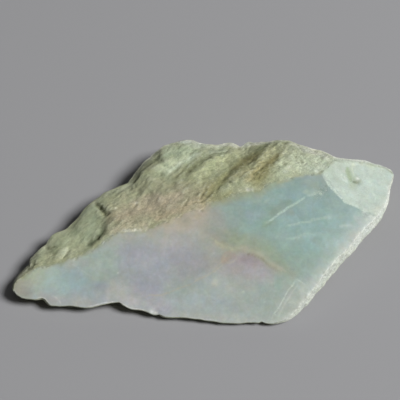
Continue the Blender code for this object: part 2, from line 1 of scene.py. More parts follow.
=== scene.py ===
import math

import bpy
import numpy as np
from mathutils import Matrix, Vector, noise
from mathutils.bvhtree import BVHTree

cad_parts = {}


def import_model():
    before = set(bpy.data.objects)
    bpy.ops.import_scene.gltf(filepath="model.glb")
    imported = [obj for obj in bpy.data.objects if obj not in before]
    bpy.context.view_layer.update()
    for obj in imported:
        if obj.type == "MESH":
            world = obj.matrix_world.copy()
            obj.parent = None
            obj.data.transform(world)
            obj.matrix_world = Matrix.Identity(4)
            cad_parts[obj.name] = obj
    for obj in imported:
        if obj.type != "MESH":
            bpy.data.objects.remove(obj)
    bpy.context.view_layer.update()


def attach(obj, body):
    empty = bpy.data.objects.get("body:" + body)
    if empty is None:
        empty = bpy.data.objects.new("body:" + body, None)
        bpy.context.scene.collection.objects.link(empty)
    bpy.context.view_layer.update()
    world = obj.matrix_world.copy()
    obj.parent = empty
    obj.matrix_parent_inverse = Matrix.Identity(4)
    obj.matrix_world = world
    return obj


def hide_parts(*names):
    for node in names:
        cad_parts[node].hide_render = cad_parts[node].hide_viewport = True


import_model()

# Rough jadeite.  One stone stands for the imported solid: the same outlines,
# sawn flats and crest as the solid, drawn again with fine sections, so that
# the folds of the rind, the crease in the sawn face, the chipped rims and the
# sugary broken strip are all real shape.  Lengths are millimetres until the
# mesh is made.

MM = 0.001
STATIONS = 330  # cross-sections from the left tip to the right tip
STRIP_STEPS = 8
FACE_STEPS = 96
RIND_STEPS = 96
BACK_STEPS = 18
UNDER_STEPS = 44
CAP_STEPS = 5
LOFT_TURN = math.radians(19.0)
CENTRE_SHIFT = (-2.523, 12.377)
SPOT_CENTRE = (5.5, -9.5)
SPOT_HALF = (19.0, 9.0)
SPOT_TURN = math.radians(14.0)
UNDER_BOW = 0.26

# The view that the outlines are read in: 400 by 400 units.
ELEVATION = math.radians(54.0)
EYE_DISTANCE = 272.0
FOCAL = 944.4
VIEW_CENTRE = 200.0

# Lower outline, left tip to right tip: the edge of the sawn face.
FRONT = [
    (13.4, 291.0), (14.6, 293.0), (16.5, 295.0), (19.5, 297.0), (23.5, 298.6), (28.0, 299.3),
    (32.0, 299.6), (36.0, 299.7), (39.5, 299.0), (42.0, 298.7), (44.5, 299.8), (47.0, 302.6),
    (49.0, 305.0), (51.0, 305.9), (55.0, 306.2), (60.0, 306.6), (65.0, 306.3), (70.0, 306.1),
    (75.0, 306.7), (80.0, 307.5), (86.0, 308.2), (90.0, 308.1), (95.0, 307.0), (100.0, 305.7),
    (105.0, 304.5), (108.0, 304.0), (111.0, 303.3), (115.0, 302.9), (118.5, 302.7), (120.3, 303.2),
    (122.0, 305.0), (124.5, 306.4), (127.0, 307.9), (130.0, 309.2), (133.0, 309.9), (138.0, 310.2),
    (142.0, 310.8), (146.0, 312.0), (150.0, 313.8), (153.0, 314.8), (156.0, 315.0), (159.0, 314.8),
    (161.0, 315.5), (163.0, 316.7), (166.0, 317.4), (172.0, 317.6), (180.0, 317.6), (186.0, 318.1),
    (191.0, 318.9), (196.0, 319.3), (200.0, 319.6), (205.0, 320.9), (210.0, 321.3), (216.0, 322.0),
    (221.0, 323.1), (230.0, 323.4), (240.0, 323.7), (247.0, 322.9), (254.0, 322.9), (259.0, 323.0),
    (261.5, 321.9), (264.0, 323.1), (268.0, 323.9), (273.0, 324.3), (278.0, 323.6), (283.0, 322.4),
    (288.0, 320.8), (293.0, 318.0), (297.0, 315.2), (301.0, 311.4), (305.0, 307.3), (310.0, 302.5),
    (313.0, 298.2), (316.0, 294.3), (320.0, 290.0), (324.0, 285.6), (328.0, 280.2), (332.0, 275.6),
    (336.0, 271.0), (340.0, 266.2), (345.0, 260.6), (350.0, 256.0), (354.0, 252.0), (358.0, 246.2),
    (363.0, 240.0), (367.0, 235.2), (371.0, 231.0), (376.0, 225.0), (380.0, 220.0), (383.5, 213.5),
    (386.5, 207.5), (388.8, 201.0), (389.8, 194.0), (390.6, 188.0), (392.2, 183.5), (393.3, 179.5),
    (393.5, 176.5),
]
# The broken strip along that edge: (reading along the outline, its width in
# view units, how far in mm its outer side lies below the sawn face).
STRIP = [
    (13.0, 0.9, 0.35), (20.0, 0.7, 0.20), (268.0, 0.7, 0.20), (283.0, 1.8, 0.50), (288.0, 3.0, 0.75),
    (297.0, 4.0, 1.05), (305.0, 5.0, 1.30), (313.0, 5.5, 1.50), (320.0, 6.0, 1.70), (332.0, 7.0, 1.90),
    (345.0, 7.0, 1.90), (358.0, 6.5, 1.90), (371.0, 6.0, 1.80), (380.0, 4.6, 1.55), (386.5, 2.8, 1.20),
    (389.0, 2.2, 1.00), (390.6, 1.9, 0.85), (393.0, 1.3, 0.65), (394.0, 1.2, 0.60),
]
# The ridge, where the sawn face meets the rind, left to right.
RIDGE = [
    (13.5, 289.6), (14.3, 284.6), (16.5, 280.8), (21.0, 277.4), (27.0, 273.8), (31.0, 271.6), (36.5, 268.4),
    (45.0, 266.4), (52.0, 264.6), (62.0, 262.0), (68.0, 259.2), (75.0, 257.4), (82.0, 255.3), (88.0, 251.0),
    (93.0, 248.6), (98.0, 245.4), (104.0, 241.0), (110.0, 237.0), (116.0, 234.0), (122.0, 231.4), (130.0, 230.6),
    (138.0, 230.6), (148.0, 228.6), (159.0, 224.8), (170.0, 220.0), (180.0, 215.6), (191.0, 211.0), (203.7, 208.0),
    (209.0, 203.6), (214.0, 202.0), (220.5, 200.4), (226.0, 198.0), (231.0, 196.0), (240.0, 193.0), (247.0, 191.4),
    (254.0, 190.8), (260.0, 190.2), (262.6, 187.4), (265.0, 185.0), (272.0, 182.6), (280.0, 180.6), (289.0, 178.0),
    (295.0, 176.0), (302.0, 174.6), (312.0, 174.0), (318.0, 173.8), (321.4, 172.6), (325.0, 169.0), (330.0, 163.8),
    (335.0, 159.8), (340.0, 159.8), (349.0, 160.8), (356.0, 161.5), (366.0, 162.4), (373.0, 164.6), (380.0, 166.2),
    (385.0, 168.2), (389.0, 170.2), (391.2, 172.0), (392.4, 174.4), (392.9, 176.2),
]
# Upper outline, left tip to right tip: the crest.
CREST = [
    (13.0, 289.0), (12.6, 286.5), (13.3, 283.2), (15.5, 278.8), (18.5, 275.2), (22.0, 271.6), (26.0, 267.4),
    (30.2, 262.6), (29.7, 260.0), (33.0, 256.4), (37.0, 252.0), (42.0, 247.2), (46.0, 244.0), (48.5, 240.0),
    (51.0, 236.4), (54.5, 233.6), (58.0, 232.0), (65.0, 229.8), (70.0, 226.0), (74.5, 221.6), (78.5, 217.2),
    (81.5, 212.6), (84.0, 209.2), (86.0, 207.0), (90.0, 203.8), (94.5, 200.4), (100.0, 196.6), (104.0, 192.9),
    (108.5, 190.9), (113.0, 188.8), (118.0, 186.6), (122.0, 185.0), (125.5, 184.0), (128.2, 182.8), (129.8, 180.2),
    (132.2, 177.2), (134.6, 173.4), (137.2, 170.4), (140.2, 166.7), (143.2, 163.0), (146.2, 160.2), (149.5, 158.0),
    (152.2, 155.0), (155.0, 152.3), (158.0, 150.0), (161.0, 147.4), (164.0, 145.4), (168.0, 144.2), (172.0, 143.1),
    (178.0, 141.4), (184.0, 140.2), (190.0, 139.8), (194.0, 140.8), (200.0, 143.0), (208.0, 144.5), (215.5, 144.9),
    (221.0, 144.3), (225.0, 143.3), (229.0, 142.7), (233.0, 143.3), (237.0, 145.0), (240.5, 146.8), (243.7, 145.2),
    (246.0, 143.0), (249.0, 141.6), (254.0, 142.2), (261.0, 141.6), (268.0, 141.5), (275.0, 140.5), (285.0, 140.4),
    (289.0, 140.8), (293.0, 142.3), (300.0, 145.0), (305.0, 146.5), (310.0, 148.2), (315.0, 149.4), (320.0, 150.4),
    (325.0, 152.2), (330.0, 154.8), (335.0, 157.4), (340.0, 158.6), (349.0, 159.7), (356.0, 160.3), (366.0, 161.2),
    (373.0, 163.4), (380.0, 165.0), (385.0, 167.0), (389.0, 168.8), (391.5, 170.6), (392.9, 173.2), (393.4, 175.6),
]
CREST_HEIGHT = [
    (12.0, 3.7), (30.0, 4.7), (46.0, 5.3), (90.0, 6.3), (125.0, 6.9), (165.0, 8.0), (200.0, 9.0),
    (240.0, 10.0), (268.0, 11.2), (300.0, 11.8), (325.0, 11.8),
]
FACET_FROM = 336.0

# Breaks in the rind: (readings along them, half-width mm, depth mm).
CREVICES = [
    ([(95.5, 203.0), (98.0, 205.6), (101.0, 209.0), (104.2, 213.0)], 0.90, 0.45),
    ([(104.2, 213.0), (104.0, 220.0), (102.4, 227.0), (100.0, 234.0)], 1.20, 0.30),
    ([(103.0, 231.0), (99.0, 235.0), (95.0, 240.0), (90.0, 244.0)], 1.25, 0.55),
    ([(184.0, 178.0), (189.0, 172.0), (194.0, 167.0), (200.0, 162.0), (206.0, 157.4)], 1.40, 0.48),
    ([(206.0, 157.4), (212.0, 155.0), (219.0, 153.4), (227.0, 151.0)], 0.55, 0.35),
    ([(217.0, 188.0), (221.5, 183.0), (226.0, 176.5), (231.0, 170.5)], 1.10, 0.34),
    ([(202.0, 200.0), (207.0, 194.0), (212.0, 189.6)], 0.95, 0.28),
    ([(134.0, 181.0), (138.0, 172.0), (144.0, 168.0), (150.0, 162.0), (157.0, 156.0)], 1.15, 0.38),
]
# Steps in the rind, higher on the right: (readings, height, half-width, reach).
SCARPS = [
    ([(232.0, 171.0), (238.0, 166.0), (246.0, 160.5), (252.0, 156.0), (259.0, 150.5), (269.0, 142.6)], 2.1, 2.8, 6.0),
    ([(262.0, 172.0), (268.0, 166.0), (274.0, 160.0), (281.0, 153.0)], 0.8, 1.5, 4.0),
    ([(176.0, 184.0), (184.0, 177.0), (190.0, 171.0)], 0.7, 1.0, 3.5),
]
# Fine breaks: (readings, half-width, depth).
CRACKS = [
    ([(95.5, 203.0), (98.0, 205.6), (101.0, 208.4), (104.2, 212.6), (104.6, 216.0)], 0.34, 0.30),
    ([(71.0, 248.0), (67.5, 252.0), (64.5, 256.0), (62.5, 259.0)], 0.35, 0.35),
    ([(26.0, 269.6), (30.0, 268.0), (33.5, 264.5), (36.0, 262.4)], 0.55, 0.45),
    ([(45.0, 246.5), (50.0, 248.0), (56.0, 246.0)], 0.40, 0.30),
    ([(187.0, 173.0), (190.5, 168.6), (195.0, 165.0)], 0.55, 0.22),
    ([(210.0, 154.6), (216.0, 153.2), (224.0, 151.4)], 0.28, 0.20),
    ([(199.5, 199.6), (203.0, 194.0), (206.5, 187.0)], 0.32, 0.38),
    ([(205.5, 198.6), (209.0, 194.6), (212.0, 191.4)], 0.42, 0.20),
    ([(213.0, 197.4), (216.5, 192.0), (219.5, 187.6)], 0.42, 0.16),
    ([(181.0, 208.6), (184.5, 205.0), (187.6, 200.0), (189.0, 196.6)], 0.28, 0.30),
    ([(191.0, 204.6), (196.0, 201.4), (201.0, 202.4), (206.0, 200.0)], 0.28, 0.28),
    ([(222.6, 180.5), (225.4, 176.4), (228.6, 172.6)], 0.60, 0.05),
    ([(256.0, 172.6), (259.6, 170.0), (262.0, 167.6), (264.6, 163.0)], 0.36, 0.07),
    ([(257.0, 184.0), (259.0, 178.0), (262.4, 172.0)], 0.28, 0.16),
    ([(251.0, 181.0), (255.0, 176.0), (258.0, 172.6)], 0.30, 0.14),
    ([(261.0, 185.0), (263.0, 180.0), (266.0, 174.0)], 0.22, 0.20),
    ([(271.0, 165.0), (273.6, 160.4), (277.0, 156.0)], 0.80, 0.26),
    ([(171.0, 178.0), (176.0, 176.5), (180.0, 173.0), (184.0, 169.0)], 0.40, 0.25),
    ([(238.0, 180.0), (242.0, 175.0), (245.0, 170.0)], 0.30, 0.20),
]
# Hollows: (reading, radius mm, depth mm).
HOLLOWS = [
    ((135.5, 178.0), 1.6, 0.22), ((351.0, 173.5), 2.3, 0.20), ((357.0, 182.2), 0.9, 0.22),
    ((230.0, 182.0), 0.55, 0.30), ((285.0, 142.6), 0.9, 0.35), ((52.0, 252.0), 2.2, 0.35),
    ((155.0, 312.5), 1.1, 0.22), ((98.0, 238.0), 0.9, 0.4), ((100.4, 207.4), 0.8, 0.4),
]
# Broken flats in the rind: (reading, radius mm, tilt towards +x and +y, drop mm).
BREAKS = [
    ((62.0, 254.0), 1.7, 0.05, 0.15, 0.25), ((90.0, 222.0), 4.0, 0.10, -0.22, 0.20),
    ((218.0, 153.4), 2.2, 0.05, -0.15, 0.25), ((170.0, 152.0), 3.2, 0.12, -0.05, 0.25),
    ((214.0, 164.0), 3.0, 0.18, -0.05, 0.15), ((150.0, 214.0), 4.0, 0.05, -0.15, 0.10),
    ((176.0, 200.0), 3.2, 0.15, -0.10, 0.15), ((304.0, 160.0), 3.0, 0.12, -0.10, 0.12),
    ((42.0, 250.0), 1.8, 0.05, -0.1, 0.20), ((120.0, 200.0), 3.0, 0.10, -0.20, 0.20),
]
# The crease across the sawn face: the stone stands a little lower below it.
CREASE = [
    (209.0, 235.6), (221.0, 240.5), (230.0, 246.6), (238.0, 247.6), (245.0, 247.5), (253.5, 252.5), (263.2, 259.5),
    (271.0, 265.2), (278.6, 269.3), (285.0, 272.5), (295.4, 277.7),
]
CREASE_STEP, CREASE_FADE = 0.07, 5.0
GRAIN = np.array((0.700, 0.700, 0.140))
CROSS = np.array((0.707, -0.707, 0.0))

# ------------------------------------------------------- readings into space
SIN_E, COS_E = math.sin(ELEVATION), math.cos(ELEVATION)
EYE = np.array((0.0, -EYE_DISTANCE * COS_E, EYE_DISTANCE * SIN_E))


def sight(u, v):
    """Direction of the line of sight through the reading (u, v)."""
    a, b = (u - VIEW_CENTRE) / FOCAL, (VIEW_CENTRE - v) / FOCAL
    return np.array((a, b * SIN_E + COS_E, b * COS_E - SIN_E))


def at_height(u, v, z):
    d = sight(u, v)
    return EYE + d * ((z - EYE[2]) / d[2])


def hit_plane(u, v, plane):
    a, b, c = plane
    d = sight(u, v)
    return EYE + d * ((a * EYE[0] + b * EYE[1] + c - EYE[2]) / (d[2] - a * d[0] - b * d[1]))


def plane_through(p, q, r):
    m = np.array([(k[0], k[1], 1.0) for k in (p, q, r)])
    return tuple(np.linalg.solve(m, np.array([k[2] for k in (p, q, r)])))


LAVENDER = plane_through(at_height(240, 323, 1.7), at_height(15, 288, 4.9), at_height(170, 220, 11.4))
AQUA = plane_through(hit_plane(209, 235.6, LAVENDER), hit_plane(294, 277, LAVENDER), at_height(371, 214, 9.8))
BEVEL = plane_through(hit_plane(270.2, 322, LAVENDER), hit_plane(296, 278.2, AQUA), hit_plane(317, 287.5, AQUA))
# The frosted facet is ground slightly hollow: two flats that meet in a valley.
TIP = at_height(393, 177, 6.6)
FROSTED = (
    plane_through(hit_plane(321.4, 172.6, AQUA), hit_plane(345.2, 202, AQUA), TIP),
    plane_through(hit_plane(345.2, 202, AQUA), hit_plane(371.6, 214, AQUA), TIP),
)
LIGHT = np.array((0.657, -0.128, 0.743))


def sheets(x, y):
    """Heights of the four worked surfaces over (x, y)."""
    rows = [a * x + b * y + c for a, b, c in (LAVENDER, AQUA, BEVEL)]
    left, right = (a * x + b * y + c for a, b, c in FROSTED)
    return np.array(rows + [np.maximum(left, right)])


def roof(x, y, soft=0.06):
    """Height of the worked face: the lowest of the surfaces, edges just eased."""
    zs = sheets(x, y)
    low = zs.min(axis=0)
    return low - soft * np.log(np.exp(-(zs - low) / soft).sum(axis=0))


def on_face(u, v):
    d = sight(u, v)

    def reach(plane):
        a, b, c = plane
        return (a * EYE[0] + b * EYE[1] + c - EYE[2]) / (d[2] - a * d[0] - b * d[1])

    t = max(reach(LAVENDER), reach(AQUA), reach(BEVEL), min(reach(k) for k in FROSTED))
    return EYE + d * t


def to_loft(p):
    c, s = math.cos(LOFT_TURN), math.sin(LOFT_TURN)
    return np.array((p[0] * c + p[1] * s, -p[0] * s + p[1] * c, p[2]))


def from_loft(s, w):
    c, n = math.cos(LOFT_TURN), math.sin(LOFT_TURN)
    return s * c - w * n, s * n + w * c


# ----------------------------------------------------------- the five curves
def knots(table, at):
    cols = np.array(table, float).T
    return [np.interp(at, cols[0], c) for c in cols[1:]]


def smooth(xs, ys, at):
    """Monotone cubic through (xs, ys), so a curve never swings past a reading."""
    h = np.diff(xs)
    d = np.diff(ys) / h
    m = np.zeros_like(ys)
    same = d[:-1] * d[1:] > 0
    w1, w2 = 2 * h[1:] + h[:-1], h[1:] + 2 * h[:-1]
    inner = np.zeros(len(d) - 1)
    inner[same] = (w1 + w2)[same] / (w1[same] / d[:-1][same] + w2[same] / d[1:][same])
    m[1:-1] = inner
    m[0], m[-1] = d[0], d[-1]
    i = np.clip(np.searchsorted(xs, at) - 1, 0, len(h) - 1)
    t = (at - xs[i]) / h[i]
    return (
        (1 + 2 * t) * (1 - t) ** 2 * ys[i] + t * (1 - t) ** 2 * h[i] * m[i]
        + t * t * (3 - 2 * t) * ys[i + 1] + t * t * (t - 1) * h[i] * m[i + 1]
    )


def curve(points):
    p = np.array([to_loft(q) for q in points])
    keep = [0]
    for i in range(1, len(p)):
        if p[i, 0] > p[keep[-1], 0] + 0.02:
            keep.append(i)
    return p[keep]


def inward():
    f = np.array(FRONT)
    t = np.gradient(f, axis=0)
    n = np.column_stack((t[:, 1], -t[:, 0]))
    return n / np.linalg.norm(n, axis=1)[:, None]


def front_curves():
    inner, outer = [], []
    for (u, v), n in zip(FRONT, inward()):
        wide, drop = knots(STRIP, u)
        inner.append(on_face(u + n[0] * wide, v + n[1] * wide))
        outer.append(at_height(u, v, on_face(u, v)[2] - drop))
    return curve(inner), curve(outer)


def crest_curve():
    out = []
    for u, v in CREST:
        mix = min(1.0, max(0.0, (u - FACET_FROM) / 12.0 + 1.0))
        z = (1 - mix) * knots(CREST_HEIGHT, u)[0] + mix * (on_face(u, v)[2] - 0.35)
        out.append(at_height(u, v, z))
    return curve(out)


C_EDGE, C_LIP = front_curves()
C_RIDGE = curve([on_face(u, v) for u, v in RIDGE])
C_CREST = crest_curve()
S_FIRST = max(c[0, 0] for c in (C_LIP, C_CREST)) + 0.05
S_LAST = min(c[-1, 0] for c in (C_LIP, C_CREST)) - 0.05


def stations(n):
    """Places along the stone, closer together at its two tips."""
    t = np.linspace(0.0, 1.0, n)
    e = 0.045
    warp = np.where(t < e, t * t / (2 * e), np.where(t > 1 - e, 1 - e - (1 - t) ** 2 / (2 * e), t - e / 2))
    return S_FIRST + (S_LAST - S_FIRST) * warp / warp[-1]


def uneven(s, length, seed):
    """Slow swings along the stone, from about -1 to 1."""
    return np.array([np.clip(2.2 * noise.noise(Vector((q / length, seed, 2 * seed))), -1, 1) for q in s])


def section_lines(s):
    """Edge, lip, ridge, crest shoulder and back bulge at the stations s."""
    at = {}
    for name, c in (("edge", C_EDGE), ("lip", C_LIP), ("ridge", C_RIDGE), ("crest", C_CREST)):
        q = np.clip(s, c[0, 0], c[-1, 0])
        at[name] = np.column_stack((smooth(c[:, 0], c[:, 1], q), smooth(c[:, 0], c[:, 2], q)))
    crest, lip = at["crest"], at["lip"]
    run = np.gradient(crest[:, 0], s)
    reach = max(4, len(s) // 22)
    k = np.ones(2 * reach + 1) / (2 * reach + 1)
    run = np.convolve(np.pad(run, reach, mode="edge"), k, mode="valid")
    slope = SIN_E / (COS_E * math.cos(LOFT_TURN) - COS_E * math.sin(LOFT_TURN) * np.clip(run, -1.5, 1.5))
    wide = crest[:, 0] - lip[:, 0]
    bulge = np.clip(wide * 0.035, 0.12, 0.6)
    low = crest[:, 1] * (0.46 + 0.16 * uneven(s, 7.0, 3.3))
    high = crest[:, 1] - low
    for _ in range(6):
        turn = np.arctan(slope * bulge / high)
        high = (crest[:, 1] - low) / np.cos(turn)
    at["shoulder"] = np.column_stack((crest[:, 0] - bulge * np.sin(turn), low + high))
    at["bulge"] = np.column_stack((at["shoulder"][:, 0] + bulge, low))
    ridge = at["ridge"]
    ridge[:, 0] = np.clip(ridge[:, 0], at["edge"][:, 0] + 0.05, at["shoulder"][:, 0] - 0.03)
    edge = at["edge"]
    edge[:, 0] = np.maximum(edge[:, 0], lip[:, 0] + 0.03)
    edge[:, 0] = np.minimum(edge[:, 0], at["shoulder"][:, 0] - 0.08)
    return at


def bowl(x, y, most=9.0):
    """Height of the underside: zero or less inside the flat spot."""
    c, s = math.cos(SPOT_TURN), math.sin(SPOT_TURN)
    dx, dy = x - SPOT_CENTRE[0], y - SPOT_CENTRE[1]
    q = ((dx * c + dy * s) / SPOT_HALF[0]) ** 2 + ((-dx * s + dy * c) / SPOT_HALF[1]) ** 2
    z = UNDER_BOW * (q - 1.0)
    return np.where(z > 0, most * (1 - np.exp(-np.maximum(z, 0) / most)), z)


def rind_height(t, ridge, shoulder):
    wide = shoulder[..., 0] - ridge[..., 0]
    crown = np.clip(0.035 * wide, 0.0, 0.8)
    return ridge[..., 1] + (shoulder[..., 1] - ridge[..., 1]) * t + crown * 4 * t * (1 - t)


def soft_max(a, b, k=0.35):
    h = np.clip(0.5 + 0.5 * (a - b) / k, 0, 1)
    return b + (a - b) * h + k * h * (1 - h)


def step_up(x, low, high):
    t = np.clip((x - low) / (high - low), 0, 1)
    return t * t * (3 - 2 * t)


def rings():
    """Points of the stone before its relief: (stations, ring, 3), and labels
    for the ring: 0 sawn face, 1 rind, 2 back, 3 underside, 4 broken strip."""
    s = stations(STATIONS)
    at = section_lines(s)
    edge, lip, ridge, shoulder, back = (at[k] for k in ("edge", "lip", "ridge", "shoulder", "bulge"))
    parts, labels = [], []

    def put(w, z, label):
        parts.append(np.dstack((w, z)))
        labels.extend([label] * w.shape[1])

    def flats(w):
        x, y = from_loft(s[:, None], w)
        return roof(x, y)

    t = np.linspace(0, 1, STRIP_STEPS + 1)[None, :-1]
    rise = flats(edge[:, 0:1]) - lip[:, 1:2]
    put(lip[:, 0:1] + (edge[:, 0:1] - lip[:, 0:1]) * t, lip[:, 1:2] + rise * (t + 0.22 * t * (1 - t)), 4)
    t = np.linspace(0, 1, FACE_STEPS + 1)[None, :-1]
    t = t - 0.06 * np.sin(2 * math.pi * t)
    w = edge[:, 0:1] + (ridge[:, 0:1] - edge[:, 0:1]) * t
    put(w, flats(w), 0)
    wide = shoulder[:, 0:1] - ridge[:, 0:1]
    top = np.column_stack((ridge[:, 0], flats(ridge[:, 0:1])[:, 0]))
    t = np.linspace(0, 1, RIND_STEPS + 1)[None, :]
    w = ridge[:, 0:1] + wide * t
    z = rind_height(t, top[:, None, :], shoulder[:, None, :])
    put(w, np.minimum(z, flats(w)), 1)
    a = np.linspace(0, math.pi / 2, BACK_STEPS + 1)[None, 1:]
    put(
        shoulder[:, 0:1] + (back[:, 0:1] - shoulder[:, 0:1]) * np.sin(a),
        back[:, 1:2] + (shoulder[:, 1:2] - back[:, 1:2]) * np.cos(a),
        2,
    )
    t = np.linspace(0, 1, UNDER_STEPS + 1)[None, 1:-1]
    t = t - 0.11 * np.sin(2 * math.pi * t)
    w = back[:, 0:1] + (lip[:, 0:1] - back[:, 0:1]) * t
    x, y = from_loft(s[:, None], w)
    undercut = 1.5 * np.exp(0.6 * uneven(s, 9.0, 8.7))[:, None]
    z = soft_max(lip[:, 1:2] - 1.05 * (w - lip[:, 0:1]), back[:, 1:2] - undercut * (back[:, 0:1] - w))
    z = soft_max(z, bowl(x, y, 0.66 * lip[:, 1:2]))
    put(w, z, 3)
    ring = np.concatenate(parts, axis=1)
    x, y = from_loft(s[:, None], ring[:, :, 0])
    return np.dstack((x, y, ring[:, :, 1])), np.array(labels), s, at


# -------------------------------------------------------------------- noise
EDGES = np.array([
    (1, 1, 0), (-1, 1, 0), (1, -1, 0), (-1, -1, 0), (1, 0, 1), (-1, 0, 1),
    (1, 0, -1), (-1, 0, -1), (0, 1, 1), (0, -1, 1), (0, 1, -1), (0, -1, -1),
], float)


def scatter(i, j, k, seed):
    """A whole number for each lattice point, the same on every run."""
    m = np.uint64(0xFFFFFFFF)
    h = (i.astype(np.uint64) * np.uint64(374761393) + j.astype(np.uint64) * np.uint64(668265263)
         + k.astype(np.uint64) * np.uint64(2246822519) + np.uint64(seed * 3266489917 % 4294967296)) & m
    h = ((h ^ (h >> np.uint64(15))) * np.uint64(2246822519)) & m
    h = ((h ^ (h >> np.uint64(13))) * np.uint64(3266489917)) & m
    return h ^ (h >> np.uint64(16))


def wave(p, seed):
    """Gradient noise, about -1 to 1, at the points p."""
    base = np.floor(p).astype(np.int64)
    f = p - base
    base = base + 4096
    e = f * f * f * (f * (f * 6 - 15) + 10)
    out = np.zeros(len(p))
    for dx in (0, 1):
        for dy in (0, 1):
            for dz in (0, 1):
                g = EDGES[(scatter(base[:, 0] + dx, base[:, 1] + dy, base[:, 2] + dz, seed) % np.uint64(12)).astype(int)]
                off = f - (dx, dy, dz)
                wx = e[:, 0] if dx else 1 - e[:, 0]
                wy = e[:, 1] if dy else 1 - e[:, 1]
                wz = e[:, 2] if dz else 1 - e[:, 2]
                out += wx * wy * wz * (g * off).sum(axis=1)
    return out


def cloud(p, size, seed, octaves=3):
    """Layered noise with features of about `size` mm."""
    total, amp, norm = 0.0, 1.0, 0.0
    q = p / size
    for k in range(octaves):
        total = total + amp * wave(q, seed + 7 * k)
        norm += amp
        amp *= 0.55
        q = q * 2.03 + 11.7
    return total / norm * 1.6


def stretched(p, along, across, up, seed):
    """Noise drawn out along the grain of the rock."""
    q = np.column_stack((p @ GRAIN / along, p @ CROSS / across, p[:, 2] / up))
    return wave(q, seed)


def drawn_out(points, along, across, up, seed):
    """The long folds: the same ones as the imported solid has."""
    a, c, z = points @ GRAIN / along, points @ CROSS / across, points[:, 2] / up
    return np.array([noise.noise(Vector((p + seed, q - 2 * seed, r + 3 * seed))) for p, q, r in zip(a, c, z)])


def rind_relief(points):
    sway = points + np.outer(drawn_out(points, 15, 11, 9, 3.1) * 1.6, CROSS)
    big = 1 - 2.2 * np.abs(drawn_out(sway, 19, 6.5, 8, 11.3))
    mid = 1 - 2.2 * np.abs(drawn_out(sway, 8, 2.7, 4, 27.7))
    return 0.50 * big + 0.26 * mid - 0.25


def lobes(points):
    n = [noise.noise(p) for p in (Vector(q / 11.0) + Vector((5.2, 8.1, 1.7)) for q in points)]
    m = [noise.noise(p) for p in (Vector(q / 4.5) + Vector((1.2, 3.1, 9.7)) for q in points)]
    return 0.55 * np.array(n) + 0.22 * np.array(m)


# ------------------------------------------------------------------- relief
def chipped(points, size, seed):
    """Broken stone, mm: tilted flats a few mm wide that meet at soft edges."""
    out = np.zeros(len(points))
    for i, q in enumerate(points / size + seed):
        dist, centres = noise.voronoi(Vector(q))
        high = []
        for c in centres[:2]:
            lean = noise.cell_vector(c * 7.3 + Vector((0.37, 0.61, 0.83)))
            high.append((Vector(q) - c).dot(lean) * 0.8 + 0.5 * (lean.x - 0.5 * (lean.y + lean.z)))
        own = min(1.0, (dist[1] - dist[0]) / 0.22)
        out[i] = high[0] * (0.5 + 0.5 * own) + high[1] * (0.5 - 0.5 * own)
    return out * size * 0.25


def broken_back(points, label, lines):
    """Relief of the broken back, mm.  It starts a little under the crest and
    runs out on the underside."""
    fall = (lines["crest_z"] - points[:, 2]) / np.maximum(lines["crest_z"], 1.0)
    part = (label == 2) | (label == 3)
    share = np.where(part, np.clip((fall - 0.10) / 0.30, 0, 1), 0.0)
    w = -points[:, 0] * math.sin(LOFT_TURN) + points[:, 1] * math.cos(LOFT_TURN)
    share = share * np.clip(1.25 - (lines["bulge"] - w) / 9.0, 0, 1)
    out = np.zeros(len(points))
    some = share > 0
    near = points[some] + 0.25 * np.column_stack([cloud(points[some], 1.8, k, 2) for k in (151, 157, 163)])
    out[some] = chipped(near, 6.5, 4.7) + chipped(near, 3.0, 9.2) * 0.7 + chipped(near, 1.3, 2.9) * 0.6
    return share * np.clip(out - 0.15, -1.3, 0.9)


def normals(grid):
    ds = np.gradient(grid, axis=0)
    dr = np.roll(grid, -1, axis=1) - np.roll(grid, 1, axis=1)
    n = np.cross(dr, ds)
    n /= np.maximum(np.linalg.norm(n, axis=2), 1e-9)[:, :, None]
    mid = grid.mean(axis=1, keepdims=True)
    if ((grid - mid) * n).sum() < 0:
        n = -n
    return n


def ring_faces(n_s, n_r, offset=0):
    i = np.arange(n_s - 1)[:, None] * n_r
    j = np.arange(n_r)[None, :]
    k = (j + 1) % n_r
    quads = np.stack((i + j, i + k, i + n_r + k, i + n_r + j), axis=2).reshape(-1, 4)
    return quads + offset


def seen(grid):
    """A search tree of the stone's surface as it is so far."""
    n_s, n_r, _ = grid.shape
    return BVHTree.FromPolygons(grid.reshape(-1, 3).tolist(), ring_faces(n_s, n_r).tolist())


def cast(tree, u, v):
    """Where the line of sight through (u, v) meets the stone."""
    hit = tree.ray_cast(Vector(EYE), Vector(sight(u, v)).normalized())
    if hit[0] is None:
        return np.array(on_face(u, v))
    return np.array(hit[0])


def beside(points, line, flat=True, ends=False):
    """Distance from each point to a line, which side it is on, and how far
    along the line its foot is, from 0 to 1.  With `ends`, the side fades
    through 0 past the ends of the line."""
    best = np.full(len(points), 1e9)
    side = np.zeros(len(points))
    along = np.zeros(len(points))
    dims = 2 if flat else 3
    n = len(line) - 1
    for i in range(n):
        a, d = line[i], line[i + 1] - line[i]
        r = points - a
        t = np.clip((r[:, :dims] @ d[:dims]) / max(d[:dims] @ d[:dims], 1e-12), 0, 1)
        off = r[:, :dims] - t[:, None] * d[:dims]
        dist = np.sqrt((off * off).sum(axis=1))
        near = dist < best
        best = np.where(near, dist, best)
        turn = np.sign(r[:, 0] * d[1] - r[:, 1] * d[0])
        if ends:
            turn = (off[:, 0] * d[1] - off[:, 1] * d[0]) / (math.hypot(d[0], d[1]) * np.maximum(dist, 1e-6))
        side = np.where(near, turn, side)
        along = np.where(near, (i + t) / n, along)
    return best, side, along


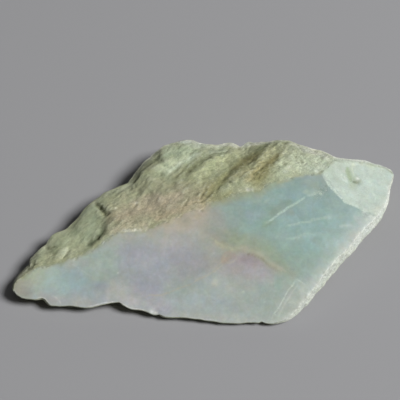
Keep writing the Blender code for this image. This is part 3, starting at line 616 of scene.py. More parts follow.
def carve(grid, labels, s, at):
    """Adds the relief to the rings and returns them with their masks."""
    n_s, n_r, _ = grid.shape
    flat = grid.reshape(-1, 3)
    label = np.tile(labels, n_s)
    w = -flat[:, 0] * math.sin(LOFT_TURN) + flat[:, 1] * math.cos(LOFT_TURN)
    lines = {k: np.repeat(v[:, 0], n_r) for k, v in at.items()}
    lines["crest_z"] = np.repeat(at["crest"][:, 1], n_r)
    tip = np.repeat(np.clip(np.minimum(s - s[0], s[-1] - s) / 6.0, 0, 1), n_r)
    from_ridge = np.clip((w - lines["ridge"]) / 2.5, 0, 1)
    to_crest = np.clip(np.abs(w - lines["crest"]) / 2.2, 0, 1)
    frosted = np.clip((lines["shoulder"] - lines["ridge"]) / 2.0, 0, 1)
    rind = np.where(label == 1, from_ridge * (0.2 + 0.8 * to_crest) * frosted, 0.0)
    rind = np.where(label == 2, 0.2 + 0.8 * to_crest, rind)
    smooth_left = np.exp(-(((flat[:, 0] + 42.0) / 15.0) ** 4) - ((flat[:, 1] + 14.0) / 11.0) ** 4)
    rind = rind * (1 - 0.5 * smooth_left)
    amount = rind * 0.54 * rind_relief(flat) * np.where(label == 2, 0.8, 1.0)
    lump = 0.36 * cloud(flat, 6.5, 131, 2) + 0.26 * (0.5 - np.abs(cloud(flat, 3.4, 137, 2)))
    amount = amount + rind * lump
    rough = np.where(label == 3, np.clip((bowl(flat[:, 0], flat[:, 1]) - 0.05) / 0.5, 0, 1), 0.0)
    amount = amount + lobes(flat) * (rough + 0.5 * (label == 2)) * tip
    amount = amount + broken_back(flat, label, lines)
    amount = amount * (0.25 + 0.75 * tip)
    out = flat + normals(grid).reshape(-1, 3) * amount[:, None]
    tree = seen(out.reshape(n_s, n_r, 3))

    lift = np.zeros(len(flat))
    on_top = np.where((label == 1) | (label == 2), from_ridge * (0.35 + 0.65 * to_crest), 0.0)
    for readings, half, deep in CREVICES:
        line = np.array([cast(tree, u, v) for u, v in readings])
        dist, _, _ = beside(flat, line)
        lift -= deep * np.exp(-((dist / half) ** 2))
    for readings, high, half, reach in SCARPS:
        line = np.array([cast(tree, u, v) for u, v in readings])
        dist, side, _ = beside(flat, line, ends=True)
        lift += 0.5 * high * side * np.tanh(dist / half) * np.exp(-dist / reach)
    out[:, 2] += lift * on_top * (label < 3)

    # Broken flats: the relief is trimmed towards a tilted plane.
    for (u, v), radius, ax, ay, drop in BREAKS:
        spot = cast(tree, u, v)
        off = out - spot
        near = np.exp(-((np.linalg.norm(off[:, :2], axis=1) / radius) ** 4)) * on_top * (label < 3)
        plane = spot[2] - drop * 0.5 + ax * off[:, 0] + ay * off[:, 1]
        out[:, 2] += near * 0.75 * (plane - out[:, 2])

    # Fine folds and grains of the rind, the back and the underside.
    sugar = step_up(flat[:, 0] * 0.8 + flat[:, 1] * 0.2, 14.0, 24.0)
    calm = 0.80 * np.exp(-((flat[:, 0] + 13.0) / 12.0) ** 2 - ((flat[:, 1] - 0.0) / 9.0) ** 2)
    calm = calm + 0.45 * np.exp(-((flat[:, 0] + 32.0) / 4.0) ** 2 - ((flat[:, 1] + 8.0) / 6.0) ** 2)
    calm = np.clip(calm + 0.95 * smooth_left, 0, 1)
    sway = out + np.outer(stretched(out, 6, 4, 4, 5) * 0.7, CROSS)
    thin = 1 - 2.6 * np.abs(stretched(sway, 3.4, 1.45, 2.2, 17))
    hair = 1 - 2.6 * np.abs(stretched(sway, 1.9, 0.80, 1.2, 29))
    crumb = 0.6 - 1.7 * np.abs(cloud(out, 1.5, 41, 2))
    grit = cloud(out, 0.75, 47, 2)
    seed_grain = cloud(out, 0.45, 53, 1)
    patchy = 0.7 + 0.5 * cloud(out, 5.0, 59, 2)
    where = np.where(label == 1, step_up(w - lines["ridge"], -0.2, 1.6) * (0.45 + 0.55 * to_crest) * (0.3 + 0.7 * frosted), 0.0)
    where = np.where(label == 2, 0.45 + 0.55 * to_crest, where)
    where = np.where(label == 3, 0.8 * step_up(out[:, 2], 0.05, 0.6), where)
    fine = where * (1 - 0.60 * calm) * (
        patchy * (0.085 * thin * (1 - 0.5 * sugar) + 0.050 * hair * (1 - 0.3 * sugar) + 0.13 * crumb)
        + 0.075 * grit * (0.8 + 0.7 * sugar) + 0.040 * seed_grain * (0.7 + 1.0 * sugar)
    )
    # The broken strip: sugary, with a few larger bites out of it.
    strip_high = np.repeat((roof(*from_loft(s, at["edge"][:, 0])) - at["lip"][:, 1]), n_r)
    on_strip = np.where(label == 4, 1.0, 0.0) + np.where(label == 0, np.exp(-np.abs(w - lines["edge"]) / 0.5), 0.0)
    bite = np.clip(strip_high / 1.6, 0.12, 1.0)
    turned = np.where((label == 3), np.exp(-np.abs(w - lines["lip"]) / 0.6), 0.0)
    fine = fine + on_strip * bite * (0.17 * cloud(out, 1.7, 61, 3) + 0.10 * cloud(out, 0.7, 67, 2) - 0.05)
    out = out + normals(out.reshape(n_s, n_r, 3)).reshape(-1, 3) * fine[:, None]

    tree = seen(out.reshape(n_s, n_r, 3))
    dig = np.zeros(len(flat))
    wander = out + 0.35 * np.column_stack([cloud(out, 1.6, k, 2) for k in (71, 73, 79)])
    for readings, half, deep in CRACKS:
        line = np.array([cast(tree, u, v) for u, v in readings])
        dist, _, along = beside(wander, line, flat=False)
        ends = np.clip(np.minimum(along, 1 - along) * 5.0, 0.15, 1)
        dig += deep * ends * np.exp(-((dist / half) ** 2)) * (label != 3)
    for (u, v), radius, deep in HOLLOWS:
        spot = cast(tree, u, v)
        dist = np.linalg.norm(wander - spot, axis=1)
        dig += deep * np.exp(-((dist / radius) ** 3)) * (label != 3)
    out[:, 2] -= dig * np.where(label == 2, 0.4, 1.0)

    # The crease in the sawn face, and nibbles out of the face's rims.
    line = np.array([cast(tree, u, v) for u, v in CREASE])
    bent = out + 0.12 * np.column_stack([cloud(out, 1.4, k, 2) for k in (83, 89, 97)])
    dist, side, along = beside(bent, line)
    below = step_up(np.where(side > 0, dist, -dist), -0.12, 0.30)
    ends = step_up(np.minimum(along * 3.0, (1 - along) * 4.0), 0.0, 1.0)
    face = label == 0
    out[:, 2] -= face * CREASE_STEP * below * np.exp(-dist / CREASE_FADE) * ends
    rim = np.where(face, np.clip(lines["ridge"] - w, 0, 9), 9.0)
    nibble = np.clip(0.32 * cloud(out, 1.3, 101, 3) + 0.02 - 0.22 * rim, 0, 0.4)
    out[:, 2] -= np.where(face, nibble, 0.0)
    out[:, 2] += np.where(face, 0.012 * cloud(out, 6.0, 103, 2), 0.0)

    # The rind keeps just below the sawn flats, and nothing is below zero.
    cut = roof(out[:, 0], out[:, 1])
    back_off = np.clip(w - lines["ridge"], 0, 4)
    least = 0.16 * np.minimum(back_off, 1.6) * frosted
    ease = 0.02 + 0.10 * np.minimum(back_off, 1.0)
    under = cut - out[:, 2]
    kept = least + ease * np.logaddexp(0.0, (under - least) / ease)
    out[:, 2] = np.where((label == 1) | (label == 2), cut - kept, out[:, 2])
    out[:, 2] = np.maximum(out[:, 2], 0.0)
    polished = np.where(face, 1.0 - step_up(nibble, 0.0, 0.05), 0.0)
    masks = {
        "polished": polished,
        "strip": np.clip((on_strip + turned) * np.clip(strip_high / 0.9, 0.25, 1.0), 0, 1),
        "calm": np.clip(calm, 0, 1),
        "dig": np.clip(dig / 0.6, 0, 1),
        "sugar": sugar * where,
        "label": label,
        "inside": np.where(face, lines["ridge"] - w, -(w - lines["ridge"])),
        "crest": np.exp(-np.abs(w - lines["crest"]) / 0.75) * ((label == 1) | (label == 2)),
        "frosted": frosted,
        "hidden": np.where(label == 3, 1.0, (label == 2) * step_up(lines["crest_z"] - out[:, 2], 0.6, 2.2)),
    }
    return out.reshape(n_s, n_r, 3), masks


def blurred(values, n_s, n_r, times):
    """Values averaged over their neighbours in the rings, some times over."""
    v = values.reshape(n_s, n_r)
    for _ in range(times):
        v = (v + np.roll(v, 1, axis=1) + np.roll(v, -1, axis=1)) / 3
        up = np.vstack((v[:1], v[:-1]))
        down = np.vstack((v[1:], v[-1:]))
        v = (v + up + down) / 3
    return v.reshape(-1)


def hollowness(grid, times):
    """How far each point lies under its surroundings (+) or over them (-), mm."""
    n_s, n_r, _ = grid.shape
    flat = grid.reshape(-1, 3)
    mean = np.column_stack([blurred(flat[:, k], n_s, n_r, times) for k in range(3)])
    return ((mean - flat) * normals(grid).reshape(-1, 3)).sum(axis=1)


# ------------------------------------------------------------------ colours
# Every colour below is one as it looks on the lit stone; LIT says how bright
# a white surface looks there, for each flat, the rind and the broken strip.
LIT_FLATS = (0.77, 0.86, 0.79)
LIT_RIND, LIT_STRIP = 1.07, 0.70
FACE_GROUND = (158, 165, 162)
RIND_GROUND = (151, 155, 127)
RIND_DEPTH = 1.06
STRIP_GROUND, STRIP_TIP = (188, 193, 185), (197, 202, 195)
FROST_GROUND = (197, 211, 200)
BEVEL_GROUND = (166, 177, 165)
# Soft strokes of colour: (where, readings, radius mm, colour, strength), in
# the order in which they are laid on.
PATCHES = [
    # --- sawn face, behind the crease: aqua, paler towards the broken edge
    ("face", [(228, 214), (262, 208), (305, 204), (345, 212)], 11.0, (143, 167, 160), 1.0),
    ("face", [(262, 240), (300, 250), (335, 238), (362, 222)], 8.0, (142, 170, 162), 1.0),
    ("face", [(300, 232), (326, 226), (338, 222)], 4.5, (145, 174, 169), 0.8),
    ("face", [(330, 246), (346, 232), (358, 218)], 3.6, (162, 184, 178), 0.9),
    ("face", [(346, 246), (358, 232), (368, 220)], 2.6, (177, 192, 186), 0.9),
    ("face", [(312, 284), (330, 264), (348, 246), (366, 224), (374, 216)], 1.7, (187, 195, 188), 0.8),
    ("face", [(316, 272), (324, 264), (330, 258)], 2.0, (166, 183, 172), 0.7),
    ("face", [(222, 200), (240, 195), (258, 193)], 2.6, (150, 162, 146), 0.9),
    ("face", [(262, 189), (276, 184), (292, 180)], 1.3, (148, 164, 146), 0.7),
    ("face", [(208, 222), (214, 212), (222, 226)], 3.6, (158, 161, 153), 0.9),
    ("face", [(236, 208), (236, 222)], 2.6, (146, 165, 155), 0.8),
    ("face", [(247, 204), (255, 211), (250, 219)], 2.2, (142, 166, 161), 0.8),
    ("face", [(249, 214), (258, 216)], 1.6, (147, 165, 168), 0.6),
    ("face", [(268, 196), (280, 192), (296, 188)], 2.2, (141, 168, 162), 0.8),
    ("face", [(292, 198), (300, 194)], 1.5, (140, 168, 168), 0.6),
    ("face", [(273, 213), (281, 207), (289, 201)], 1.3, (134, 154, 142), 0.8),
    ("face", [(262, 226), (272, 221)], 1.4, (142, 165, 147), 0.7),
    ("face", [(288, 216), (304, 211), (318, 205)], 2.0, (142, 166, 163), 0.8),
    ("face", [(276, 249), (288, 256), (296, 262)], 3.0, (141, 163, 150), 0.9),
    ("face", [(262, 238), (278, 240), (296, 238)], 2.2, (147, 168, 160), 0.6),
    ("face", [(300, 268), (306, 262)], 2.2, (150, 170, 158), 0.7),
    # --- the olive-tan haze along the crease
    ("face", [(226, 236), (240, 240), (254, 243), (266, 250)], 2.3, (150, 159, 139), 0.9),
    ("face", [(266, 253), (278, 261), (290, 271)], 1.7, (150, 163, 146), 0.8),
    ("face", [(206, 234), (214, 238)], 2.0, (155, 154, 139), 0.9),
    ("face", [(244, 248), (254, 253), (264, 259)], 0.9, (162, 162, 142), 0.9),
    # --- sawn face, in front of the crease: pale grey-lavender
    ("face", [(128, 258), (150, 254), (175, 256), (192, 262)], 5.5, (158, 161, 166), 1.0),
    ("face", [(170, 256), (184, 258), (196, 260)], 3.2, (154, 154, 159), 0.9),
    ("face", [(148, 268), (166, 270)], 2.6, (162, 166, 171), 0.8),
    ("face", [(138, 284), (150, 288), (158, 280)], 3.0, (155, 157, 162), 0.9),
    ("face", [(136, 291), (146, 293), (152, 292)], 1.5, (157, 155, 163), 0.7),
    ("face", [(184, 272), (196, 274), (206, 268)], 2.8, (151, 152, 151), 0.9),
    ("face", [(206, 252), (216, 250), (222, 254)], 2.3, (151, 152, 143), 0.9),
    ("face", [(214, 262), (222, 264), (226, 258)], 1.8, (152, 149, 140), 0.8),
    ("face", [(204, 242), (214, 244)], 1.8, (154, 155, 143), 0.8),
    ("face", [(156, 238), (162, 244), (168, 240)], 2.4, (171, 173, 170), 0.8),
    ("face", [(170, 230), (184, 226), (198, 222)], 2.8, (172, 167, 154), 1.0),
    ("face", [(168, 223), (180, 219), (194, 215), (204, 212)], 1.7, (171, 165, 147), 1.0),
    ("face", [(122, 236), (134, 236), (146, 234), (158, 231)], 1.8, (166, 169, 158), 0.9),
    ("face", [(138, 240), (148, 240)], 1.6, (161, 165, 159), 0.6),
    ("face", [(178, 240), (190, 240)], 1.9, (164, 162, 158), 0.8),
    # pinkish mauve under the crease
    ("face", [(238, 257), (250, 261), (260, 265)], 2.4, (155, 147, 144), 1.0),
    ("face", [(246, 256), (254, 260)], 1.3, (151, 143, 143), 0.7),
    ("face", [(228, 268), (240, 271)], 2.2, (159, 155, 153), 0.9),
    ("face", [(252, 273), (264, 273), (270, 274)], 2.4, (162, 161, 160), 0.9),
    ("face", [(274, 275), (282, 278)], 1.6, (152, 163, 150), 0.8),
    # greens of the lower middle
    ("face", [(176, 288), (192, 290), (204, 290)], 3.2, (156, 167, 159), 1.0),
    ("face", [(180, 302), (200, 303), (222, 306), (240, 308)], 3.6, (159, 169, 166), 1.0),
    ("face", [(208, 291), (222, 292), (236, 294)], 2.6, (160, 168, 162), 0.9),
    ("face", [(220, 279), (234, 282), (250, 286)], 2.3, (164, 169, 161), 0.9),
    ("face", [(246, 300), (258, 302), (266, 297)], 2.4, (152, 164, 155), 0.9),
    ("face", [(264, 286), (276, 286), (284, 284)], 2.4, (150, 167, 156), 1.0),
    ("face", [(276, 298), (270, 306), (266, 312)], 2.0, (150, 166, 156), 0.9),
    ("face", [(262, 276), (268, 280)], 1.5, (158, 166, 158), 0.6),
    ("face", [(196, 297), (210, 300), (222, 300)], 1.6, (156, 168, 169), 0.5),
    ("face", [(166, 314), (190, 316), (216, 319), (240, 321), (262, 320)], 1.2, (168, 172, 165), 0.8),
    # --- the left half: mint, blue and beige
    ("face", [(34, 287), (48, 284), (58, 282)], 3.6, (160, 173, 165), 1.0),
    ("face", [(28, 280), (42, 272), (56, 269)], 2.2, (169, 179, 161), 1.0),
    ("face", [(64, 269), (70, 274)], 2.0, (161, 173, 170), 0.8),
    ("face", [(70, 280), (78, 278), (86, 280)], 2.9, (149, 166, 169), 1.0),
    ("face", [(62, 292), (78, 291), (92, 293)], 2.4, (159, 171, 171), 0.9),
    ("face", [(72, 262), (82, 259)], 1.6, (167, 173, 160), 0.8),
    ("face", [(86, 256), (91, 254)], 1.2, (153, 164, 149), 0.8),
    ("face", [(96, 264), (104, 254), (110, 262), (112, 272), (96, 276)], 3.2, (156, 170, 160), 1.0),
    ("face", [(104, 247), (112, 243)], 1.6, (164, 173, 162), 0.8),
    ("face", [(99, 287), (106, 288)], 1.5, (147, 154, 159), 0.9),
    ("face", [(112, 279), (119, 281)], 1.6, (155, 161, 154), 0.8),
    ("face", [(116, 292), (120, 297), (128, 300)], 2.3, (171, 173, 168), 1.0),
    ("face", [(130, 302), (140, 304), (152, 307)], 1.8, (173, 173, 173), 0.8),
    ("face", [(44, 296), (62, 301), (80, 303), (94, 302)], 1.6, (165, 167, 165), 0.9),
    ("face", [(17, 286), (20, 290), (24, 293)], 2.0, (150, 150, 138), 1.0),
    ("face", [(22, 283), (27, 281)], 1.4, (158, 160, 145), 0.8),
    ("face", [(98, 302), (104, 299)], 1.4, (168, 172, 174), 0.6),
    # --- frosted facet
    ("frost", [(338, 162), (352, 163), (366, 165), (380, 168)], 1.2, (204, 216, 201), 0.8),
    ("frost", [(362, 182), (376, 190), (382, 200)], 3.0, (199, 214, 204), 0.8),
    ("frost", [(326, 170), (334, 178), (340, 184)], 1.6, (190, 204, 190), 0.8),
    ("frost", [(330, 164), (340, 168)], 1.8, (195, 206, 190), 0.7),
    ("frost", [(349, 170), (352, 177), (353, 184)], 1.4, (183, 198, 176), 0.9),
    ("frost", [(340, 172), (344, 170), (348, 174)], 0.7, (206, 217, 204), 0.7),
    ("frost", [(354, 180), (360, 181)], 0.7, (170, 182, 160), 0.7),
    ("frost", [(376, 210), (382, 207), (387, 200)], 1.4, (207, 216, 203), 0.8),
    # --- bevel
    ("bevel", [(290, 292), (284, 306), (276, 320)], 1.0, (184, 191, 182), 0.7),
    ("bevel", [(302, 290), (308, 286), (318, 276)], 1.6, (184, 194, 182), 0.8),
    ("bevel", [(294, 300), (300, 303)], 1.4, (178, 187, 175), 0.8),
    ("bevel", [(302, 300), (310, 298)], 1.3, (178, 180, 167), 0.9),
    ("bevel", [(286, 316), (294, 312)], 1.3, (176, 182, 171), 0.8),
    # ================================================================ rind
    ("rind", [(18, 277), (26, 269)], 0.9, (150, 152, 132), 0.9),
    ("rind", [(33, 258), (40, 250), (46, 245)], 1.3, (168, 172, 148), 0.9),
    ("rind", [(42, 256), (50, 249), (55, 243)], 1.8, (146, 151, 126), 0.9),
    ("rind", [(57, 249), (62, 245)], 1.2, (140, 147, 118), 0.8),
    ("rind", [(66, 240), (74, 234), (80, 240)], 3.2, (156, 164, 136), 0.9),
    ("rind", [(60, 256), (63, 252), (66, 249)], 1.0, (182, 187, 160), 1.0),
    ("rind", [(70, 253), (78, 249)], 1.0, (161, 165, 139), 0.8),
    ("rind", [(82, 216), (90, 208), (96, 203)], 1.5, (148, 154, 131), 0.8),
    ("rind", [(90, 232), (92, 220), (95, 212)], 2.4, (149, 158, 133), 0.9),
    ("rind", [(100, 226), (99, 218)], 1.0, (132, 141, 116), 0.8),
    ("rind", [(107, 222), (112, 214), (118, 217)], 1.9, (141, 139, 113), 0.9),
    ("rind", [(109, 207), (116, 203), (124, 196)], 2.0, (156, 158, 131), 0.9),
    ("rind", [(106, 195), (112, 192)], 1.0, (136, 140, 117), 0.8),
    ("rind", [(118, 190), (128, 187)], 1.3, (164, 167, 143), 0.8),
    ("rind", [(112, 231), (122, 228), (134, 227), (146, 225)], 1.4, (175, 171, 146), 0.9),
    ("rind", [(124, 216), (136, 212), (150, 208)], 2.9, (163, 157, 133), 0.9),
    ("rind", [(134, 203), (142, 199)], 1.6, (171, 167, 144), 0.8),
    ("rind", [(148, 198), (152, 203), (156, 207)], 1.5, (152, 147, 126), 0.8),
    ("rind", [(156, 198), (168, 203), (176, 196)], 2.2, (164, 158, 138), 0.9),
    ("rind", [(158, 218), (170, 213), (182, 209)], 1.5, (160, 150, 125), 0.9),
    ("rind", [(188, 207), (196, 201), (200, 206)], 1.6, (172, 165, 138), 0.9),
    ("rind", [(166, 188), (178, 186), (190, 186)], 2.1, (147, 147, 121), 0.9),
    ("rind", [(138, 190), (148, 186), (158, 182)], 2.0, (151, 152, 126), 0.8),
    ("rind", [(146, 177), (156, 172), (162, 170)], 1.9, (165, 169, 140), 0.9),
    # Painted shade in the dark niche and along the crevice under the upper-left crest (this line and the next).
    ("rind", [(134, 178), (137, 175)], 1.1, (108, 112, 95), 0.9),
    ("rind", [(140, 171), (149, 164), (158, 158)], 1.1, (118, 122, 97), 0.9),
    ("rind", [(164, 170), (172, 163), (182, 158)], 2.6, (176, 185, 157), 1.0),
    ("rind", [(168, 153), (180, 150), (194, 151)], 2.4, (164, 175, 149), 0.9),
    ("rind", [(170, 171), (180, 164), (190, 158), (196, 154)], 0.8, (192, 202, 178), 0.8),
    # Pale stroke along the crest: partly pale broken edge, partly a painted highlight.
    ("rind", [(184, 142), (192, 145), (200, 147)], 1.1, (178, 187, 169), 0.8),
    # Dark strokes along the fold grooves (this line to the third): partly olive-brown stain, partly painted shade in
    # the grooves.
    ("rind", [(176, 178), (182, 174), (187, 170)], 1.5, (134, 138, 109), 0.9),
    ("rind", [(189, 171), (196, 165), (203, 159)], 1.4, (122, 127, 99), 1.0),
    ("rind", [(204, 158), (212, 155), (222, 153)], 0.9, (136, 142, 118), 0.9),
    ("rind", [(211, 152), (218, 151), (225, 150)], 0.9, (160, 167, 147), 0.8),
    ("rind", [(200, 176), (208, 168), (216, 162), (224, 159)], 2.3, (172, 178, 143), 1.0),
    ("rind", [(213, 165), (219, 162)], 1.4, (184, 190, 154), 0.8),
    ("rind", [(198, 186), (206, 180)], 1.8, (158, 160, 126), 0.8),
    ("rind", [(222, 168), (232, 160), (238, 155)], 1.8, (160, 165, 132), 0.9),
    ("rind", [(192, 178), (197, 174)], 1.4, (163, 166, 134), 0.7),
    # Dark strokes along the groove (this line to the third): partly olive-brown stain, partly painted shade in the
    # groove.
    ("rind", [(202, 198), (208, 191), (212, 187)], 1.5, (142, 139, 107), 0.9),
    ("rind", [(210, 196), (218, 188), (224, 182)], 1.4, (137, 139, 107), 0.9),
    ("rind", [(222, 178), (228, 173), (234, 168)], 1.1, (124, 128, 99), 1.0),
    ("rind", [(228, 190), (236, 186), (244, 184)], 1.9, (158, 163, 133), 0.9),
    ("rind", [(236, 176), (244, 172), (250, 170)], 1.5, (152, 150, 118), 0.8),
    # Dark strokes down the scarp (this line to the third): partly olive-brown stain, partly painted shade on the scarp
    # wall turned from the light.
    ("rind", [(238, 166), (246, 161), (254, 157), (262, 150)], 2.1, (121, 122, 91), 1.0),
    ("rind", [(246, 160), (255, 157)], 1.3, (117, 113, 82), 0.8),
    ("rind", [(258, 149), (264, 146), (269, 143)], 1.2, (112, 116, 90), 0.9),
    ("rind", [(250, 180), (255, 174), (259, 168), (264, 162)], 1.1, (172, 168, 132), 0.9),
    ("rind", [(262, 160), (268, 153), (274, 149)], 1.5, (162, 163, 129), 0.9),
    ("rind", [(258, 180), (264, 174), (268, 168)], 1.4, (140, 139, 103), 0.9),
    ("rind", [(270, 164), (274, 160), (280, 155)], 1.3, (126, 123, 89), 1.0),
    ("rind", [(256, 186), (266, 182), (274, 178)], 1.2, (158, 164, 134), 0.8),
    ("rind", [(240, 190), (250, 188), (258, 187)], 1.0, (172, 177, 149), 0.9),
    ("rind", [(272, 174), (280, 168), (282, 162)], 1.6, (158, 163, 134), 0.8),
    ("rind", [(282, 178), (292, 174), (302, 170)], 1.9, (180, 188, 160), 1.0),
    ("rind", [(286, 166), (296, 160), (304, 156)], 2.6, (182, 190, 162), 1.0),
    ("rind", [(284, 154), (294, 149)], 1.7, (172, 178, 151), 0.9),
    ("rind", [(304, 166), (312, 160), (320, 158)], 2.6, (192, 201, 177), 1.0),
    ("rind", [(312, 170), (320, 168), (328, 160)], 1.6, (190, 201, 181), 0.9),
    # Pale strokes along the crest in the next four lines: partly pale broken edge, partly a painted highlight.
    ("rind", [(304, 150), (314, 153), (326, 156)], 1.1, (188, 190, 177), 0.9),
    ("rind", [(246, 145), (254, 144), (260, 143)], 0.8, (184, 186, 171), 0.9),
    ("rind", [(221, 145), (229, 144), (236, 147)], 0.8, (178, 181, 166), 0.8),
    ("rind", [(290, 143), (298, 146), (304, 148)], 0.9, (192, 194, 178), 0.8),
    # Dark stroke in the hollow at the crest: partly dark rind, partly painted shade inside it.
    ("rind", [(283, 143), (287, 143)], 0.6, (112, 115, 86), 0.8),
    ("rind", [(200, 146), (210, 147), (218, 147)], 0.9, (172, 178, 158), 0.7),
    # --- second touches
    ("face", [(204, 206), (214, 203), (226, 200), (238, 196)], 1.1, (156, 163, 138), 0.8),
    ("face", [(238, 196), (250, 193.5), (262, 192)], 1.1, (151, 161, 138), 0.8),
    ("face", [(262, 190), (270, 186), (280, 183)], 1.0, (150, 163, 139), 0.7),
    ("face", [(222, 244), (232, 249), (244, 250), (254, 255), (264, 262), (276, 269)], 1.3, (160, 158, 136), 0.85),
    ("face", [(268, 262), (280, 268), (292, 275)], 1.1, (152, 160, 140), 0.8),
    ("face", [(242, 260), (252, 264), (262, 267)], 2.0, (157, 148, 147), 0.8),
    ("face", [(236, 266), (250, 270), (262, 272)], 2.0, (163, 157, 158), 0.7),
    # Darker again along the groove and down the scarp (this line and the next): partly stain, partly painted shade.
    ("rind", [(206, 196), (212, 190), (220, 183), (228, 176)], 1.6, (138, 137, 98), 0.7),
    ("rind", [(238, 167), (247, 161), (256, 156)], 1.7, (121, 119, 84), 0.7),
    ("rind", [(252, 178), (257, 171), (262, 165)], 1.4, (168, 162, 118), 0.6),
    ("rind", [(256, 184), (262, 178), (266, 172)], 1.4, (142, 139, 96), 0.6),
    ("rind", [(270, 163), (275, 159), (279, 155)], 1.3, (126, 121, 82), 0.7),
    ("rind", [(204, 202), (216, 199), (230, 194)], 1.2, (152, 152, 114), 0.7),
    ("rind", [(126, 214), (150, 208), (172, 203), (198, 199)], 4.0, (167, 156, 134), 0.5),
    ("face", [(150, 229), (172, 219), (196, 209), (206, 206)], 1.4, (173, 163, 146), 0.6),
    ("face", [(226, 269), (244, 274), (262, 276)], 2.0, (164, 158, 159), 0.6),
    ("face", [(160, 303), (166, 310)], 2.2, (167, 165, 174), 0.7),
    ("face", [(278, 284), (286, 282), (292, 286)], 1.6, (152, 165, 150), 0.6),
    # Dark stroke in the deep crack: partly dark rind, partly painted shade inside it.
    ("rind", [(100, 207), (104, 212)], 1.6, (112, 114, 84), 0.5),
    ("rind", [(16, 282), (22, 274), (30, 266)], 1.3, (158, 160, 140), 0.7),
    ("rind", [(48, 242), (56, 234), (66, 230)], 1.2, (164, 170, 144), 0.7),
    ("rind", [(92, 203), (102, 197), (112, 190)], 1.0, (152, 156, 134), 0.7),
    ("rind", [(146, 172), (152, 165), (158, 157)], 1.0, (134, 138, 112), 0.6),
    # Painted shade: the dark bank between the upper-left crest and the crevice below it, a steep slope turned from the
    # light.
    ("rind", [(131, 181), (137, 172.5), (146, 163), (154, 155.5), (160, 151)], 0.95, (88, 91, 74), 0.95),
    # Dark strokes along the crevice and the crack (this line and the next): partly dark rind, partly painted shade
    # inside them.
    ("rind", [(103, 231), (99.5, 237), (94, 242), (89, 245.5)], 0.75, (88, 97, 74), 0.8),
    ("rind", [(255.5, 174.5), (260, 170.5), (264, 167)], 0.85, (120, 119, 84), 0.8),
    ("rind", [(305, 158), (312, 160), (320, 158)], 1.7, (192, 200, 176), 0.6),
    ("rind", [(104, 219), (104, 226)], 1.0, (142, 150, 124), 0.6),
    ("rind", [(172, 222), (180, 218.5), (190, 213), (198, 210), (206, 207)], 1.2, (190, 180, 154), 0.75),
    # Painted highlight along the ridge edge where the sawn face meets the rind.
    ("rind", [(122, 231), (128, 231), (134, 230.4), (141, 230)], 0.40, (214, 213, 192), 0.5),
    # Pale stroke along the crest: partly pale broken edge, partly a painted highlight.
    ("rind", [(180, 142), (190, 141.5), (200, 144)], 0.60, (188, 194, 186), 0.6),
    ("rind", [(250, 143), (262, 143)], 0.50, (148, 150, 132), 0.7),
    # --- sawn face, near left: small cooler and paler clouds
    ("face", [(126, 272), (131, 277)], 2.0, (149, 154, 155), 0.6),
    ("face", [(108, 274), (113, 277)], 1.6, (148, 159, 151), 0.7),
    ("face", [(143, 283), (155, 287)], 2.4, (149, 151, 158), 0.6),
    ("face", [(116, 288), (124, 293)], 2.0, (177, 179, 173), 0.6),
    ("face", [(54, 280), (66, 282)], 2.6, (157, 178, 172), 0.7),
    ("face", [(72, 286), (80, 284)], 2.0, (146, 168, 167), 0.6),
]
